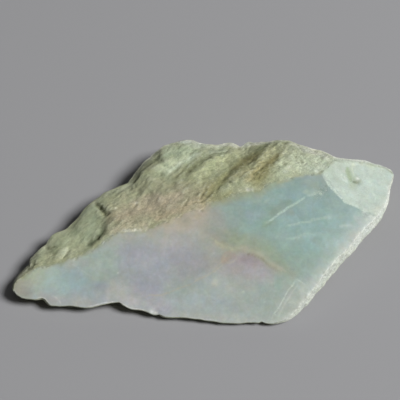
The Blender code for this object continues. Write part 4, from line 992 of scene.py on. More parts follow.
# Strokes with a firmer edge: (where, readings, half-width mm, colour, strength).
BANDS = [
    # --- the tan seam above the crease, and what hangs from it
    ("face", [(215, 241), (222, 245), (230, 247.5)], 0.60, (163, 163, 142), 0.6),
    ("face", [(222, 246.5), (230, 248.5), (238, 248), (247, 248.8)], 0.60, (165, 166, 144), 0.75),
    ("face", [(246, 250), (254, 252), (260, 255.5), (266, 260), (273, 265), (281, 270.5)], 1.00, (169, 171, 149), 0.80),
    ("face", [(250, 247), (258, 250), (266, 255), (274, 260)], 0.90, (156, 164, 142), 0.5),
    ("face", [(229.5, 252.5), (226, 257.5), (222.5, 261.5)], 1.25, (162, 150, 134), 0.92),
    ("face", [(234.5, 253.5), (231, 258)], 0.75, (156, 145, 135), 0.6),
    ("face", [(241, 259.5), (249, 259.5), (257, 261)], 1.70, (153, 143, 146), 0.85),
    ("face", [(247, 254.2), (252, 255.4), (258, 256.6), (263, 259.5), (269, 265.2), (277, 271.2)], 0.28, (136, 130, 114), 0.55),
    ("face", [(263, 249), (271, 253), (279, 259), (286, 266)], 1.60, (149, 166, 143), 0.5),
    ("face", [(230, 240.5), (240, 241), (250, 242)], 1.70, (148, 161, 136), 0.55),
    ("face", [(252, 273), (262, 275), (270, 281)], 2.30, (163, 163, 164), 0.6),
    ("face", [(276, 275), (278, 282), (279, 289)], 0.95, (143, 164, 154), 0.65),
    # --- behind the crease
    ("face", [(262, 226.5), (267, 223.8), (272, 221.5)], 0.70, (135, 158, 136), 0.65),
    ("face", [(271, 213.5), (279, 208), (288, 203)], 0.95, (133, 152, 142), 0.6),
    ("face", [(282, 213.5), (289, 212), (294, 214)], 0.95, (141, 156, 149), 0.5),
    ("face", [(264, 203), (267, 200.5), (270, 198.5)], 0.50, (157, 178, 166), 0.6),
    ("face", [(280, 197), (290, 194.5), (299, 192)], 1.40, (143, 169, 170), 0.6),
    ("face", [(306, 181), (313, 184), (318, 188)], 1.40, (157, 173, 160), 0.7),
    ("face", [(304, 192), (311, 192), (318, 192)], 1.10, (163, 182, 171), 0.7),
    ("face", [(286, 239), (293, 238.5), (300, 236.5), (306, 234.5), (316, 235), (326, 235)], 0.60, (157, 181, 172), 0.6),
    ("face", [(305, 236.5), (318, 237.5), (330, 237)], 0.80, (158, 183, 178), 0.45),
    ("face", [(312, 240), (320, 242), (324, 246)], 1.20, (143, 165, 160), 0.6),
    ("face", [(339, 226), (346, 226), (350, 225.5)], 0.50, (174, 194, 188), 0.8),
    ("face", [(325, 217.5), (336, 216.5), (348, 216)], 0.75, (162, 184, 176), 0.6),
    ("face", [(322, 229), (334, 231), (346, 231)], 0.70, (150, 170, 165), 0.5),
    ("face", [(330, 199), (340, 204), (350, 209)], 1.10, (155, 173, 167), 0.6),
    ("face", [(326, 202), (336, 209), (346, 211)], 1.10, (147, 169, 164), 0.5),
    ("face", [(355, 217), (362, 222), (364, 230)], 1.20, (179, 189, 186), 0.6),
    # Painted highlight along the ridge edge, on the face side.
    ("face", [(122, 231.4), (128, 231.4), (134, 230.8), (141, 230.4)], 0.30, (206, 205, 186), 0.45),
    # --- frosted facet
    ("frost", [(347, 168), (348.5, 174), (350.5, 181)], 0.85, (170, 187, 154), 0.85),
    ("frost", [(350, 184), (353, 189)], 0.90, (192, 204, 186), 0.5),
    # Dark stroke in the chip on the frosted facet: partly darker stone, partly painted shade inside it.
    ("frost", [(353, 182), (356.5, 182.3)], 0.36, (108, 122, 98), 0.95),
    ("frost", [(383, 206), (378, 212), (376, 216)], 1.20, (208, 214, 199), 0.6),
    ("frost", [(366, 165.5), (374, 166.5)], 0.80, (201, 212, 190), 0.6),
    ("frost", [(326, 164), (331, 167), (334, 171)], 0.80, (186, 200, 184), 0.6),
    # --- bevel
    ("bevel", [(284, 304), (292, 302.5), (300, 302.5)], 0.50, (186, 193, 180), 0.7),
    ("bevel", [(299, 288), (303, 292), (304, 296)], 0.90, (178, 188, 177), 0.7),
    ("bevel", [(302, 305), (308, 300), (313, 295)], 0.90, (182, 182, 166), 0.8),
    ("bevel", [(284, 310), (280, 316)], 0.60, (160, 172, 159), 0.6),
]
# Patches where the surface is broken into grains: (readings, radius mm, strength).
GRAINY = [
    ([(318, 195), (324, 190), (330, 185)], 1.30, 1.0),
    ([(334, 160), (338, 163)], 0.90, 0.6),
    ([(322, 175), (331, 187), (340, 196.5), (350, 204.5), (362, 209.5), (371, 214)], 0.55, 0.8),
    ([(365, 211), (371, 217), (376, 214)], 1.80, 1.0),
    ([(384, 186), (388, 190)], 0.90, 0.6),
    ([(345, 160.5), (358, 162.5), (372, 165)], 0.55, 0.6),
    ([(380, 168), (388, 172), (390, 179)], 0.55, 0.5),
    ([(316, 290), (332, 271), (350, 251), (368, 229)], 0.75, 0.7),
    ([(296, 311), (304, 304), (312, 296)], 1.30, 1.0),
    ([(288, 303), (298, 302)], 0.60, 0.7),
    ([(290, 290), (282, 303), (272, 320)], 0.40, 0.7),
    ([(290, 273), (300, 275)], 0.90, 0.5),
]
# Crisp veins: (group, readings, half-width mm, colour, strength).  Veins that
# meet are in different groups.
VEINS = [
    (0, [(262.7, 224.8), (271, 220.5), (277.5, 215), (285, 210), (291, 205.5), (297, 202), (303, 199), (306, 196.5)], 0.36, (176, 199, 186), 0.88),
    (0, [(306, 196.5), (312, 195), (318, 193), (323, 190)], 0.36, (176, 194, 182), 0.65),
    (1, [(284, 226.6), (290, 225), (296, 224), (301, 222), (310, 222), (313, 219.6), (325, 218), (331, 216.4)], 0.36, (169, 192, 180), 0.75),
    (2, [(338, 226.4), (344, 225.6), (350, 226), (357, 226.6), (364, 224.6)], 0.32, (182, 199, 192), 0.6),
    (0, [(285, 239), (293, 238.4), (300, 236), (305, 233.6), (322, 234), (336, 234)], 0.34, (163, 186, 177), 0.6),
    (2, [(263.5, 203), (266, 201.5), (269, 199)], 0.30, (160, 180, 167), 0.6),
    (3, [(209, 235.6), (215, 240), (222, 245.4), (230, 248.2), (238, 248.2), (246, 247.6), (250, 246.4)], 0.33, (168, 172, 152), 0.5),
    (4, [(251, 251), (258, 252.2), (263, 255.6), (267, 260.4), (274, 264.8), (282, 268.4), (287, 272.4), (290.4, 276.4)], 0.33, (168, 173, 154), 0.45),
    (5, [(240, 250.6), (239.4, 255), (236, 259.6), (232, 261.8), (228, 262.2), (222, 265.2), (214, 271.4), (207, 275), (200, 278.4), (193, 283), (186, 286), (179, 288.5), (170, 292.3), (161, 295), (152, 296), (145, 296.8), (136.5, 298.6)], 0.28, (170, 167, 152), 0.62),
    (2, [(232, 250.4), (228, 253.6), (224, 258.4), (220, 262.6), (215, 268.4), (212, 272.4)], 0.26, (163, 163, 148), 0.5),
    (1, [(54, 296), (57, 299), (59.5, 302), (61, 305)], 0.22, (184, 184, 176), 0.6),
    (0, [(86, 306.6), (95, 305.4), (105, 303.0), (112, 301.8), (118, 301.4)], 0.20, (204, 206, 204), 0.8),
    (1, [(121, 302.6), (124.5, 305), (130, 308), (138, 309), (148, 311.4)], 0.20, (202, 202, 198), 0.75),
    (0, [(150, 311.2), (154, 312.6), (158, 313.2)], 0.34, (208, 208, 206), 0.8),
    (1, [(163, 315.4), (174, 316.4), (188, 317.2), (204, 319), (222, 321.6)], 0.18, (196, 198, 196), 0.6),
    (0, [(36, 298.4), (42, 297.2), (45, 298.8), (48, 302.6)], 0.16, (206, 206, 198), 0.7),
    (4, [(68, 262), (76, 267), (84, 271), (91, 277)], 0.16, (176, 184, 178), 0.35),
    (3, [(42, 268), (30, 277), (22, 281)], 0.5, (174, 180, 156), 0.35),
    (2, [(180, 247), (185, 247.6), (190, 249)], 0.35, (146, 147, 152), 0.5),
    (3, [(321.4, 172.6), (326, 180), (331.4, 187.4), (337.7, 194.6), (344.8, 201.6), (357, 206.6), (366, 211), (371.6, 214.4)], 0.45, (206, 220, 208), 0.85),
    (0, [(342.4, 171), (341.4, 175), (343, 179), (346.4, 181.6), (349.6, 184)], 0.24, (216, 228, 216), 0.75),
    (1, [(353, 162.6), (352, 167), (352.6, 172), (353.6, 176.6)], 0.26, (218, 230, 208), 0.65),
    (2, [(372, 192), (374.4, 194.6), (375.6, 198), (374.4, 203)], 0.22, (216, 228, 218), 0.55),
    (2, [(378, 181.6), (380.4, 184.4), (383.4, 188.6)], 0.22, (214, 226, 216), 0.5),
    (1, [(360, 172), (361.6, 176), (360.6, 180)], 0.18, (212, 224, 212), 0.4),
    (5, [(296, 279.4), (289, 290.4), (282, 302.3), (278.6, 308), (274.4, 313.5), (270.2, 322)], 0.26, (190, 200, 190), 0.8),
    (4, [(298.6, 283), (292, 293.4), (285.4, 304), (279.6, 314), (277, 321)], 0.22, (184, 193, 182), 0.55),
    (2, [(296, 279), (301, 281.6), (306.6, 285)], 0.24, (188, 199, 188), 0.6),
]
# Small bright or dark specks: (where, reading, radius mm, colour).
SPECKS = [
    ("face", (215, 282), 0.9, (182, 186, 176)), ("face", (243, 292), 0.35, (188, 192, 182)),
    ("face", (118, 273), 0.28, (186, 192, 184)), ("face", (265, 302), 0.28, (182, 190, 178)),
    ("face", (278, 307), 0.3, (184, 192, 180)), ("face", (153, 311), 0.8, (196, 196, 192)),
    ("face", (262, 268), 0.3, (180, 176, 168)), ("face", (232, 250), 0.3, (182, 178, 152)),
    ("rind", (248, 190), 0.5, (206, 208, 192)), ("rind", (252, 189.5), 0.4, (196, 198, 180)),
    ("rind", (116, 208), 0.35, (190, 190, 168)), ("rind", (137, 203), 0.4, (198, 196, 176)),
    ("rind", (139, 207), 0.3, (192, 188, 168)), ("rind", (124, 229.6), 0.4, (204, 202, 180)),
    ("rind", (129, 230.2), 0.45, (214, 212, 192)), ("rind", (135, 229.4), 0.5, (218, 216, 196)),
    ("rind", (140, 229.5), 0.4, (206, 204, 184)), ("rind", (146, 228), 0.4, (204, 201, 180)),
    ("rind", (222.5, 155.4), 0.3, (200, 204, 178)), ("rind", (182, 180), 0.45, (176, 180, 156)),
    ("rind", (285.5, 171.5), 0.6, (206, 213, 190)), ("rind", (289, 167), 0.5, (204, 210, 186)),
    ("rind", (306, 164), 0.6, (208, 214, 192)), ("rind", (316.5, 171), 0.7, (208, 216, 198)),
    # The dark specks in the next lines sit in carved cracks, hollows and the chip: partly dark rind, partly painted
    # shade inside them.
    ("rind", (283, 153), 0.3, (204, 208, 180)), ("rind", (230, 182), 0.45, (98, 104, 80)),
    ("rind", (262.5, 168), 0.4, (104, 100, 66)), ("rind", (98, 238), 0.9, (88, 96, 74)),
    ("rind", (91, 243), 0.9, (108, 116, 92)), ("rind", (100.5, 207.5), 0.6, (74, 80, 62)),
    ("rind", (103, 211.5), 0.5, (64, 70, 52)), ("rind", (97.5, 205), 0.6, (94, 98, 80)),
    ("rind", (34, 264), 0.6, (104, 110, 88)), ("rind", (29, 268.5), 0.5, (112, 116, 94)),
    ("frost", (357.5, 178.6), 0.50, (240, 246, 234)), ("frost", (356.5, 182.4), 0.6, (150, 158, 134)),
    ("frost", (353.5, 164.5), 0.6, (218, 228, 208)), ("frost", (365.5, 210.5), 0.7, (208, 216, 206)),
    ("frost", (345, 178), 0.5, (212, 222, 208)), ("frost", (341, 176), 0.4, (210, 220, 208)),
    ("frost", (373, 196), 0.4, (210, 220, 210)), ("frost", (387, 188), 0.6, (214, 224, 212)),
    ("frost", (371, 208), 0.5, (208, 218, 208)), ("face", (364, 212), 0.5, (200, 208, 200)),
    ("face", (371, 217), 0.5, (204, 211, 204)), ("face", (367, 219), 0.35, (198, 206, 200)),
    ("frost", (346.4, 181.2), 0.4, (222, 232, 218)), ("frost", (369.6, 182), 0.4, (214, 226, 216)),
    ("frost", (379.3, 182.8), 0.4, (214, 226, 216)), ("frost", (389, 186.4), 0.4, (222, 230, 220)),
    ("frost", (374, 194.6), 0.35, (220, 231, 220)), ("frost", (356.6, 206.1), 0.4, (222, 233, 222)),
    ("face", (373.2, 218.9), 0.4, (216, 224, 212)), ("face", (376.5, 217.4), 0.4, (220, 228, 212)),
    ("face", (370.9, 215.3), 0.35, (208, 218, 208)), ("face", (213.5, 253), 0.3, (166, 166, 162)),
    ("face", (248.6, 254.4), 0.26, (118, 108, 86)), ("face", (328.6, 183), 0.3, (214, 226, 206)),
    ("face", (321.5, 190), 0.4, (126, 148, 138)), ("face", (326.5, 186), 0.4, (134, 150, 138)),
    ("face", (321, 194), 0.35, (196, 212, 196)), ("face", (314.5, 193), 0.4, (178, 198, 184)),
]


def lin(c):
    c = np.array(c, float) / 255.0
    return np.where(c <= 0.04045, c / 12.92, ((c + 0.055) / 1.055) ** 2.4)


def shares(points):
    """How much each point belongs to each of the worked surfaces."""
    zs = sheets(points[:, 0], points[:, 1])
    share = np.exp(-(zs - zs.min(axis=0)) / 0.05)
    return share / share.sum(axis=0)


def lit(points, masks):
    """How bright a white stone looks at each point, for the colours above."""
    share = shares(points)
    face = (share[:3] * np.array(LIT_FLATS)[:, None]).sum(axis=0)
    left, right = (a * points[:, 0] + b * points[:, 1] + c for a, b, c in FROSTED)
    for plane, pick in zip(FROSTED, (left >= right, left < right)):
        n = np.array((-plane[0], -plane[1], 1.0))
        face += share[3] * pick * 1.04 * float(n @ LIGHT) / np.linalg.norm(n)
    p = np.maximum(masks["polished"], (masks["label"] <= 2) * (1 - masks["frosted"]))
    out = face * p + LIT_RIND * masks["broad"] * (1 - p)
    return out * (1 - masks["strip"]) + LIT_STRIP * masks["strip"]


def paint(points, masks, tree):
    """Colour of the stone at each point, before the fine texture."""
    n = len(points)
    sway = np.column_stack([
        1.1 * cloud(points, 5.0, k, 3) + 0.30 * cloud(points, 1.5, k + 3, 2) for k in (211, 223, 227)
    ])
    share = shares(points)
    on = {"face": share[0] + share[1], "frost": share[3], "bevel": share[2], "rind": 1.0}
    face = np.tile(lin(FACE_GROUND), (n, 1))
    for where, ground in (("frost", FROST_GROUND), ("bevel", BEVEL_GROUND)):
        face = face * (1 - on[where][:, None]) + lin(ground) * on[where][:, None]
    rind = np.tile(lin(RIND_GROUND), (n, 1))

    def lay(where, k, colour):
        base = rind if where == "rind" else face
        k = (k * on[where])[:, None]
        base *= 1 - k
        base += lin(colour) * k

    for where, readings, radius, colour, strength in PATCHES:
        line = np.array([cast(tree, u, v) for u, v in readings])
        dist, _, _ = beside(points + sway * min(1.0, radius / 3.0), line, flat=False)
        lay(where, strength * np.exp(-((dist / radius) ** 2)), colour)
    rind_grey = rind.mean(axis=1, keepdims=True)
    rind[:] = rind_grey + (rind - rind_grey) * RIND_DEPTH
    for where, readings, radius, colour, strength in BANDS:
        line = np.array([cast(tree, u, v) for u, v in readings])
        dist, _, along = beside(points + sway * 0.22, line, flat=False)
        wide = radius * (0.45 + 0.55 * np.clip(np.minimum(along, 1 - along) * 4.0, 0, 1))
        lay(where, strength * np.exp(-((dist / wide) ** 4)), colour)
    for where, (u, v), radius, colour in SPECKS:
        dist = np.linalg.norm(points + sway * 0.15 - cast(tree, u, v), axis=1)
        lay(where, np.exp(-((dist / radius) ** 2)), colour)
    # The back and the underside: tan weathering, mint where it broke lately.
    drawn = points @ GRAIN, points @ CROSS, points[:, 2]
    drawn = np.column_stack((drawn[0] * 0.5, drawn[1], drawn[2]))
    for size, seed, low, colour, strength in (
        (6.0, 431, 0.05, (150, 137, 104), 0.75), (4.0, 433, 0.15, (166, 176, 150), 0.75),
        (5.0, 439, 0.15, (120, 126, 98), 0.7), (9.0, 443, 0.10, (176, 178, 160), 0.6),
    ):
        k = strength * step_up(cloud(drawn, size, seed, 3), low, low + 0.35) * masks["hidden"]
        rind[:] = rind * (1 - k[:, None]) + lin(colour) * k[:, None]
    # The rind's colour fades into the face over a millimetre or so.
    depth = masks["inside"] + 0.9 * cloud(points, 2.2, 401, 3)
    keep = step_up(depth, -0.55, 1.15)
    keep = np.where(masks["label"] == 0, keep, np.where(masks["label"] == 1, np.minimum(keep, 0.45), 0.0))
    keep = np.maximum(keep, (masks["label"] <= 2) * (1 - masks["frosted"]))[:, None]
    tint = face * keep + rind * (1 - keep)
    # Pale bruised rim along the crest, partly a painted highlight where the crest's edge catches the light.
    place = step_up(points[:, 0], -22.0, -8.0)
    rim = masks["crest"] * place * np.clip(0.70 + 0.9 * cloud(points, 2.4, 409, 3), 0, 1)
    tint = tint * (1 - rim[:, None] * 0.85) + lin((208, 209, 198)) * rim[:, None] * 0.85
    # A brighter stretch of the same rim further right: pale broken edge and painted highlight.
    rim = masks["crest"] * step_up(points[:, 0], 26.0, 31.0) * (1 - step_up(points[:, 0], 37.0, 40.0)) * np.clip(0.6 + 0.9 * cloud(points, 1.8, 411, 3), 0, 1)
    tint = tint * (1 - rim[:, None] * 0.8) + lin((220, 221, 209)) * rim[:, None] * 0.8
    # Pale rim along the crest above the frosted facet to the right tip: partly pale broken edge, partly a painted
    # highlight over the crest's shaded turn.
    rim = masks["crest"] * step_up(points[:, 0], 37.0, 45.0)
    tint = tint * (1 - rim[:, None] * 0.85) + lin((212, 218, 208)) * rim[:, None] * 0.85
    strip = masks["strip"][:, None]
    broken = step_up(points[:, 0], 34.0, 48.0)[:, None]
    broken = lin(STRIP_GROUND) * (1 - broken) + lin(STRIP_TIP) * broken
    tint = tint * (1 - strip) + broken * strip
    return tint / lit(points, masks)[:, None]


def grains(points, tree):
    """How strongly the worked face is broken into grains at each point."""
    out = np.zeros(len(points))
    for readings, radius, strength in GRAINY:
        line = np.array([cast(tree, u, v) for u, v in readings])
        dist, _, _ = beside(points, line, flat=False)
        out = np.maximum(out, strength * np.exp(-((dist / radius) ** 2)))
    out = np.maximum(out, 0.62 * shares(points)[3])
    return out * np.clip(0.75 + 0.9 * cloud(points, 1.6, 421, 2), 0, 1)


def vein_maps(points, tree):
    """For each group: signed distance in mm to its nearest vein, the vein's
    half-width and its strength there, and the vein's colour."""
    groups = sorted({v[0] for v in VEINS})
    sway = 0.22 * np.column_stack([cloud(points, 3.0, k, 2) for k in (307, 311, 313)])
    out = []
    for g in groups:
        best = np.full(len(points), 9.0)
        data = np.zeros((len(points), 3))
        shade = np.zeros((len(points), 3))
        for group, readings, half, colour, strength in VEINS:
            if group != g:
                continue
            line = np.array([cast(tree, u, v) for u, v in readings])
            dist, side, along = beside(points + sway, line)
            fade = np.clip(np.minimum(along, 1 - along) * 7.0, 0.0, 1.0)
            near = dist < best
            best = np.where(near, dist, best)
            data[near, 0] = (dist * side)[near]
            data[near, 1] = half
            data[near, 2] = (strength * fade * (1 - step_up(dist, 0.9, 1.5)))[near]
            shade[near] = lin(colour)
        out.append((data, shade))
    return out


# -------------------------------------------------------------- the material
class Web:
    """Short names for building a node tree."""

    def __init__(self, mat):
        mat.use_nodes = True
        self.t = mat.node_tree
        self.n = self.t.nodes
        self.shader = self.n["Principled BSDF"]

    def put(self, kind, **props):
        node = self.n.new(kind)
        for k, v in props.items():
            setattr(node, k, v)
        return node

    def wire(self, a, b):
        self.t.links.new(a, b)

    def feed(self, socket, value):
        if hasattr(value, "is_output"):
            self.wire(value, socket)
        elif isinstance(value, (tuple, list)) and socket.type == "RGBA" and len(value) == 3:
            socket.default_value = (*value, 1.0)
        else:
            socket.default_value = value

    def attribute(self, name, out="Fac"):
        return self.put("ShaderNodeAttribute", attribute_name=name).outputs[out]

    def maths(self, op, a, b=None, c=None, clamp=False):
        node = self.put("ShaderNodeMath", operation=op, use_clamp=clamp)
        for k, v in enumerate((a, b, c)):
            if v is not None:
                self.feed(node.inputs[k], v)
        return node.outputs[0]

    def vector(self, op, a, b=None, scale=None):
        node = self.put("ShaderNodeVectorMath", operation=op)
        self.feed(node.inputs[0], a)
        if b is not None:
            self.feed(node.inputs[1], b)
        if scale is not None:
            self.feed(node.inputs["Scale"], scale)
        return node.outputs[0]

    def ramp(self, value, low, high, to_low=0.0, to_high=1.0, smooth=True):
        node = self.put("ShaderNodeMapRange", interpolation_type="SMOOTHSTEP" if smooth else "LINEAR")
        self.feed(node.inputs["Value"], value)
        for k, v in (("From Min", low), ("From Max", high), ("To Min", to_low), ("To Max", to_high)):
            self.feed(node.inputs[k], v)
        return node.outputs["Result"]

    def mix(self, fac, a, b, blend="MIX"):
        node = self.put("ShaderNodeMix", data_type="RGBA", blend_type=blend, clamp_factor=True)
        self.feed(node.inputs[0], fac)
        self.feed(node.inputs[6], a)
        self.feed(node.inputs[7], b)
        return node.outputs[2]

    def noise(self, where, scale, detail=3.0, rough=0.5, warp=0.0):
        node = self.put("ShaderNodeTexNoise", noise_dimensions="3D")
        self.feed(node.inputs["Vector"], where)
        for k, v in (("Scale", scale), ("Detail", detail), ("Roughness", rough), ("Distortion", warp)):
            node.inputs[k].default_value = v
        return node.outputs["Fac"]

    def cells(self, where, scale, feature="F1", out="Distance"):
        node = self.put("ShaderNodeTexVoronoi", feature=feature)
        self.feed(node.inputs["Vector"], where)
        node.inputs["Scale"].default_value = scale
        return node.outputs[out]


def stone_material(groups):
    mat = bpy.data.materials.new("jadeite_stone_look")
    web = Web(mat)
    where = web.vector("SCALE", web.put("ShaderNodeTexCoord").outputs["Object"], scale=1000.0)
    polished = web.attribute("polished")
    strip = web.attribute("strip")
    groove = web.attribute("groove")
    sugar = web.attribute("sugar")
    colour = web.attribute("tint", "Color")
    rough_part = web.maths("SUBTRACT", 1.0, polished)

    calm = web.attribute("calm")
    grainy = web.attribute("grainy")

    def times(colour, r, g, b):
        factor = web.put("ShaderNodeCombineColor")
        for k, v in enumerate((r, g, b)):
            web.wire(v, factor.inputs[k])
        return web.mix(1.0, colour, factor.outputs[0], "MULTIPLY")

    def mottle(colour, mask, size, low, high, dark, light, warp=0.3, space=None):
        """Multiplies the colour by soft noise, where the mask allows it."""
        v = web.ramp(web.noise(space or where, size, 4.0, 0.58, warp), low, high, dark, light)
        return web.mix(mask, colour, times(colour, v, v, v))

    def hues(colour, mask, size, much):
        """Shifts the hue a little, from pinkish to greenish and bluish."""
        node = web.put("ShaderNodeTexNoise", noise_dimensions="3D")
        web.wire(where, node.inputs["Vector"])
        node.inputs["Scale"].default_value = size
        node.inputs["Detail"].default_value = 3.0
        parts = web.put("ShaderNodeSeparateColor")
        web.wire(node.outputs["Color"], parts.inputs[0])
        out = [web.ramp(parts.outputs[k], 0.32, 0.68, 1 - much * m, 1 + much * m) for k, m in enumerate((1.0, 0.35, 1.3))]
        return web.mix(mask, colour, times(colour, *out))

    # veins in the polished stone, thin and a little broken
    wobble = web.maths("MULTIPLY", web.maths("SUBTRACT", web.noise(where, 1.3, 3.0), 0.5), 0.30)
    broken = web.ramp(web.noise(where, 1.9, 3.0, 0.6), 0.32, 0.62, 0.35, 1.0)
    for g in groups:
        split = web.put("ShaderNodeSeparateXYZ")
        web.wire(web.attribute(f"vein_{g}", "Vector"), split.inputs[0])
        off = web.maths("ABSOLUTE", web.maths("ADD", split.outputs[0], wobble))
        reach = web.maths("DIVIDE", off, split.outputs[1])
        line = web.ramp(reach, 0.35, 1.35, 1.0, 0.0)
        line = web.maths("MULTIPLY", web.maths("MULTIPLY", line, split.outputs[2]), broken)
        line = web.maths("MULTIPLY", line, polished)
        colour = web.mix(line, colour, web.attribute(f"shade_{g}", "Color"))
    # clouds in the polished stone
    colour = mottle(colour, polished, 0.18, 0.35, 0.68, 0.945, 1.055)
    colour = mottle(colour, polished, 0.42, 0.33, 0.70, 0.955, 1.045, 0.8)
    colour = mottle(colour, polished, 1.30, 0.33, 0.70, 0.968, 1.032, 0.5)
    colour = mottle(colour, polished, 3.60, 0.33, 0.70, 0.980, 1.020)
    even = web.maths("MULTIPLY", polished, web.maths("SUBTRACT", 1.0, grainy))
    colour = hues(colour, even, 0.50, 0.030)
    colour = hues(colour, even, 1.60, 0.014)
    # mottling of the rind: streaks along the grain, blotches, crumbs
    turned = web.put("ShaderNodeVectorRotate", rotation_type="Z_AXIS")
    web.wire(where, turned.inputs["Vector"])
    turned.inputs["Angle"].default_value = -math.radians(45.0)
    drawn = web.vector("MULTIPLY", turned.outputs[0], (0.42, 1.0, 0.8))
    crisp = web.maths("MULTIPLY", rough_part, web.maths("SUBTRACT", 1.0, web.maths("MULTIPLY", calm, 0.7)))
    colour = mottle(colour, crisp, 0.95, 0.32, 0.70, 0.93, 1.07, 0.5, drawn)
    colour = mottle(colour, rough_part, 0.45, 0.32, 0.70, 0.93, 1.07, 0.5)
    colour = mottle(colour, crisp, 1.90, 0.32, 0.70, 0.90, 1.10, 0.4, drawn)
    colour = mottle(colour, crisp, 4.20, 0.30, 0.72, 0.84, 1.16, 0.2)
    colour = hues(colour, rough_part, 0.45, 0.020)
    spots = web.put("ShaderNodeSeparateColor")
    web.wire(web.cells(where, 2.1, "F1", "Color"), spots.inputs[0])
    v = web.ramp(spots.outputs[0], 0.0, 1.0, 0.88, 1.13, False)
    colour = web.mix(web.maths("MAXIMUM", crisp, strip), colour, times(colour, v, v, v))
    # stain and painted shade in the grooves, painted highlight on the crests
    dark = web.maths("MULTIPLY", web.ramp(groove, 0.03, 0.30), rough_part)
    colour = web.mix(web.maths("MULTIPLY", dark, 0.45), colour, (0.160, 0.160, 0.088))
    pale = web.maths("MULTIPLY", web.ramp(groove, -0.05, -0.25), rough_part)
    colour = web.mix(web.maths("MULTIPLY", pale, 0.30), colour, (0.66, 0.70, 0.54))
    # sugary broken stone: pale grains with darker joints
    rumpled = web.put("ShaderNodeTexNoise", noise_dimensions="3D")
    web.wire(where, rumpled.inputs["Vector"])
    rumpled.inputs["Scale"].default_value = 1.1
    shaken = web.vector("ADD", where, web.vector("SCALE", rumpled.outputs["Color"], scale=1.6))
    joints = web.ramp(web.cells(shaken, 2.7), 0.12, 0.50)
    sparks = web.ramp(web.noise(where, 5.5, 2.0), 0.56, 0.66)
    grit = web.mix(joints, web.mix(1.0, colour, (1.13, 1.13, 1.12), "MULTIPLY"), web.mix(1.0, colour, (0.84, 0.85, 0.82), "MULTIPLY"))
    grit = web.mix(web.maths("MULTIPLY", sparks, 0.62), grit, (0.86, 0.88, 0.82))
    much = web.maths("MAXIMUM", web.maths("MAXIMUM", strip, grainy), web.maths("MULTIPLY", sugar, 0.7))
    colour = web.mix(much, colour, grit)
    web.wire(colour, web.shader.inputs["Base Color"])

    gloss = web.ramp(web.noise(where, 0.9, 4.0), 0.3, 0.7, 0.38, 0.47)
    dull = web.ramp(web.noise(where, 3.0, 3.0), 0.3, 0.7, 0.66, 0.84)
    web.wire(web.maths("ADD", web.maths("MULTIPLY", gloss, polished), web.maths("MULTIPLY", dull, rough_part)), web.shader.inputs["Roughness"])

    fine = web.noise(where, 4.5, 4.0, 0.6)
    height = web.maths("MULTIPLY", fine, web.maths("ADD", rough_part, 0.04))
    bump = web.put("ShaderNodeBump")
    bump.inputs["Strength"].default_value = 0.6
    bump.inputs["Distance"].default_value = 0.00016
    web.wire(height, bump.inputs["Height"])
    web.wire(bump.outputs[0], web.shader.inputs["Normal"])
    web.shader.inputs["Subsurface Weight"].default_value = 0.12
    web.shader.inputs["Subsurface Radius"].default_value = (1.0, 1.0, 1.0)
    web.shader.inputs["Subsurface Scale"].default_value = 0.0010
    web.shader.inputs["Specular IOR Level"].default_value = 0.5
    return mat


# ----------------------------------------------------------------- the stone
def dome(ring, way):
    """Rings that close an end of the stone with a low dome."""
    mid = ring.mean(axis=0)
    push = np.array((math.cos(LOFT_TURN), math.sin(LOFT_TURN), 0.0)) * 0.22 * way
    out = []
    for k in range(1, CAP_STEPS + 1):
        a = math.pi / 2 * k / (CAP_STEPS + 1)
        out.append(mid + (ring - mid) * math.cos(a) + push * math.sin(a))
    return out, mid + push


